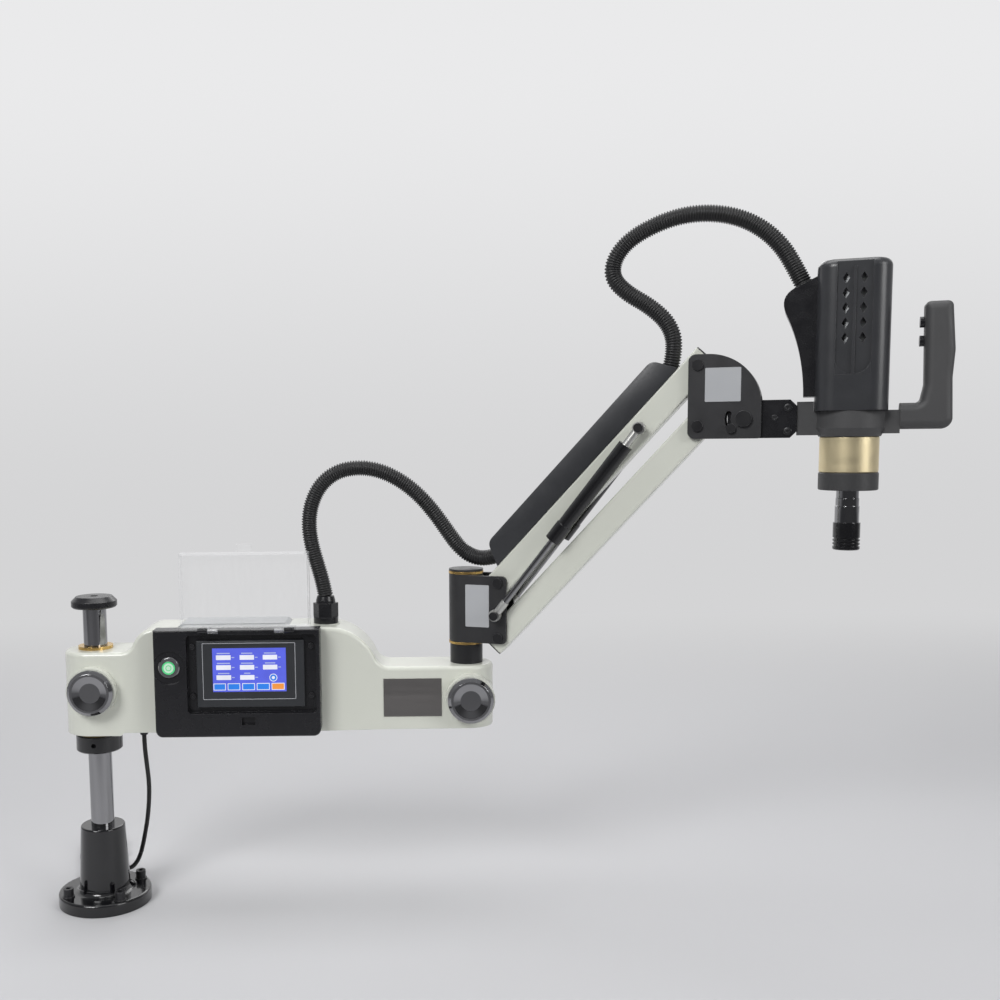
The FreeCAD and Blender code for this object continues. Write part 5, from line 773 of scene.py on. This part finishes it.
cord_pieces = []
for i, line in enumerate(cut_line(spline_line("mains_route", route), (0.140, 0.040))):
    long = line_length(line)
    count = int(long / 0.0022)
    centres = spaced(line, [long * k / count for k in range(count + 1)])
    made = tube("mains_cord_%d" % i, centres, [CORD / 2] * len(centres), 14, cord_pvc)
    cord_pieces.append((made, centres))

# The tie: a strap 9 mm wide and 0.9 mm thick, laid ring by ring round the cords that it holds, clear of the floor
TIE_HALF = 31.5
TIE_LOW = -5.9
TIE_HIGH = 7.2
TIE_CORNER = 5.5
TIE_THICK = 0.9
TIE_HALF_WIDE = 4.5
inside = []
for across, up, start in ((TIE_HALF, TIE_HIGH, 0), (-TIE_HALF, TIE_HIGH, 90), (-TIE_HALF, TIE_LOW, 180),
                          (TIE_HALF, TIE_LOW, 270)):
    for i in range(7):
        angle = math.radians(start + 15 * i)
        inside.append((across - math.copysign(TIE_CORNER, across) + TIE_CORNER * math.cos(angle),
                       up - math.copysign(TIE_CORNER, up) + TIE_CORNER * math.sin(angle)))
tie_place = Matrix.Translation(HANK @ mm(0, 0, 6.3)) @ HANK_TURN
strap = [tie_place @ mm(along, across * (1 + out / TIE_HALF), max(up * (1 + out / 6.5), -6.25))
         for out, along in ((0, -TIE_HALF_WIDE), (0, TIE_HALF_WIDE), (TIE_THICK, TIE_HALF_WIDE),
                            (TIE_THICK, -TIE_HALF_WIDE)) for across, up in inside]
count = len(inside)
strap_faces = [(a + i, a + (i + 1) % count, b + (i + 1) % count, b + i)
               for a, b in ((k * count, (k + 1) % 4 * count) for k in range(4)) for i in range(count)]
tie = soft_mesh("hank_tie", strap, strap_faces, moulded_abs)
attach(tie, "root")

(upper_cord, upper_path), (middle_cord, middle_path), (floor_cord, floor_path) = cord_pieces
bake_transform(upper_cord)
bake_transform(middle_cord)
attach(floor_cord, "root")
for made, path in cord_pieces:
    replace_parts(made, "mains_cord")
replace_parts(floor_cord, "mains_hank")

# Stage: a pale sweep of paper that curves up into the backdrop. What the camera, gloss and glass see of its far part
# is as bright as the backdrop of a studio, and its near part is darker, so that the object isn't lit from below.
FLOOR_BACK = 3.0
SWEEP_RADIUS = 1.5
STEP = math.pi / 2 / 12
stage = begin(bpy.ops.mesh.primitive_plane_add, size=1, location=(0.5, -1.5, -0.0002))
bpy.ops.transform.resize(value=(15, 9, 1), center_override=(0.5, -1.5, -0.0002))
pick(stage, "EDGE", lambda edge: all(vertex.co.y > FLOOR_BACK - 0.01 for vertex in edge.verts))
for i in range(12):
    pull(0, 1000 * SWEEP_RADIUS * (math.sin(STEP * (i + 1)) - math.sin(STEP * i)),
         1000 * SWEEP_RADIUS * (math.cos(STEP * i) - math.cos(STEP * (i + 1))))
pull(0, 0, 5500)
bpy.ops.object.mode_set(mode="OBJECT")
bpy.ops.object.shade_smooth()
stage.name = "stage_sweep"
stage.data.name = "stage_sweep"
paper, tree, shader = bare_surface("studio_paper", linear("C5C5C7"), 0.75, 0.0, {})
place = add_node(tree, "TexCoord", {}).outputs["Object"]
split = add_node(tree, "SeparateXYZ", {"Vector": place})
front = add_node(tree, "MapRange", {"Value": split.outputs["Y"], "From Min": -0.35, "From Max": -1.2},
                 interpolation_type="SMOOTHSTEP").outputs["Result"]
floor_tone = add_node(tree, "Mix", {"Factor": front, "A": (*linear("C5C5C7"), 1), "B": (*linear("6C6C6E"), 1)},
                      data_type="RGBA")
tree.links.new(floor_tone.outputs["Result"], shader.inputs["Base Color"])
height = add_node(tree, "MapRange", {"Value": split.outputs["Z"], "From Min": 0.0, "From Max": 2.6},
                  interpolation_type="SMOOTHSTEP").outputs["Result"]
glow_tone = add_node(tree, "Mix", {"Factor": height, "A": (*linear("D4D4D5"), 1), "B": (*linear("EAEAEB"), 1)},
                     data_type="RGBA")
glow = add_node(tree, "Emission", {"Color": glow_tone.outputs["Result"]})
rays = add_node(tree, "LightPath", {})
seen = add_node(tree, "Math", {0: rays.outputs["Is Camera Ray"], 1: rays.outputs["Is Glossy Ray"]},
                operation="MAXIMUM").outputs["Value"]
seen = add_node(tree, "Math", {0: seen, 1: rays.outputs["Is Transmission Ray"]}, operation="MAXIMUM").outputs["Value"]
far_part = add_node(tree, "MapRange", {"Value": split.outputs["Y"], "From Min": 0.25, "From Max": 2.3},
                    interpolation_type="SMOOTHSTEP").outputs["Result"]
share = add_node(tree, "Math", {0: seen, 1: far_part}, operation="MULTIPLY").outputs["Value"]
shown = add_node(tree, "MixShader", {"Fac": share, 1: shader.outputs["BSDF"], 2: glow.outputs["Emission"]})
tree.links.new(shown.outputs["Shader"], tree.nodes["Material Output"].inputs["Surface"])
stage.data.materials.append(paper)

# Lamps: soft boxes in front, at the right, overhead and behind, each at its place, aimed at its target
for name, spot, target, size, power in (
        ("key", (-1.4, -2.6, 2.6), (0.4, 0, 0.4), (1.6, 1.4), 84),
        ("fill", (3.0, -2.2, 1.6), (0.5, 0, 0.45), (1.4, 1.8), 38),
        ("top", (0.5, 0.2, 3.0), (0.5, 0, 0.3), (2.4, 1.6), 34),
        ("back", (0.4, 2.2, 1.9), (0.5, 0, 0.5), (2.2, 1.0), 16)):
    box = bpy.data.lights.new(name, "AREA")
    box.shape = "RECTANGLE"
    box.size, box.size_y = size
    box.energy = power
    lamp = bpy.data.objects.new(name, box)
    lamp.location = spot
    lamp.rotation_euler = (Vector(target) - Vector(spot)).to_track_quat("-Z", "Y").to_euler()
    bpy.context.scene.collection.objects.link(lamp)

# The room is dim behind the camera, so that chrome and enamel show dark fields there, and bright overhead
world = bpy.data.worlds.new("studio")
bpy.context.scene.world = world
world.use_nodes = True
room = world.node_tree
looked = add_node(room, "TexCoord", {}).outputs["Generated"]
split = add_node(room, "SeparateXYZ", {"Vector": looked})
behind = add_node(room, "MapRange", {"Value": split.outputs["Y"], "From Min": 0.1, "From Max": -0.5},
                  interpolation_type="SMOOTHSTEP").outputs["Result"]
below = add_node(room, "MapRange", {"Value": split.outputs["Z"], "From Min": 0.65, "From Max": 0.15},
                 interpolation_type="SMOOTHSTEP").outputs["Result"]
dim = add_node(room, "Math", {0: behind, 1: below}, operation="MULTIPLY").outputs["Value"]
walls = add_node(room, "Mix", {"Factor": dim, "A": (*linear("EFF0F3"), 1), "B": (*linear("7C7C7E"), 1)},
                 data_type="RGBA")
room.links.new(walls.outputs["Result"], room.nodes["Background"].inputs["Color"])
room.nodes["Background"].inputs["Strength"].default_value = 0.40
bpy.context.scene.view_settings.view_transform = "Standard"

# Camera: where the photograph was taken from, fitted to the base, the column and the arm
YAW, PITCH, ROLL = math.radians(-0.04), math.radians(5.99), math.radians(0.65)
ahead = Vector((math.sin(YAW) * math.cos(PITCH), math.cos(YAW) * math.cos(PITCH), -math.sin(PITCH)))
level = Vector((math.cos(YAW), -math.sin(YAW), 0))
down = ahead.cross(level)
right = level * math.cos(ROLL) + down * math.sin(ROLL)
under = down * math.cos(ROLL) - level * math.sin(ROLL)
lens = bpy.data.cameras.new("photo_camera")
lens.lens = 39.816
lens.sensor_width = 36
lens.shift_x = 0.1
lens.shift_y = 0.05
lens.clip_start = 0.02
camera = bpy.data.objects.new("photo_camera", lens)
camera.matrix_world = Matrix.Translation((0.398, -1.418, 0.612)) @ Matrix((right, -under, -ahead)).transposed().to_4x4()
bpy.context.scene.collection.objects.link(camera)
bpy.context.scene.camera = camera
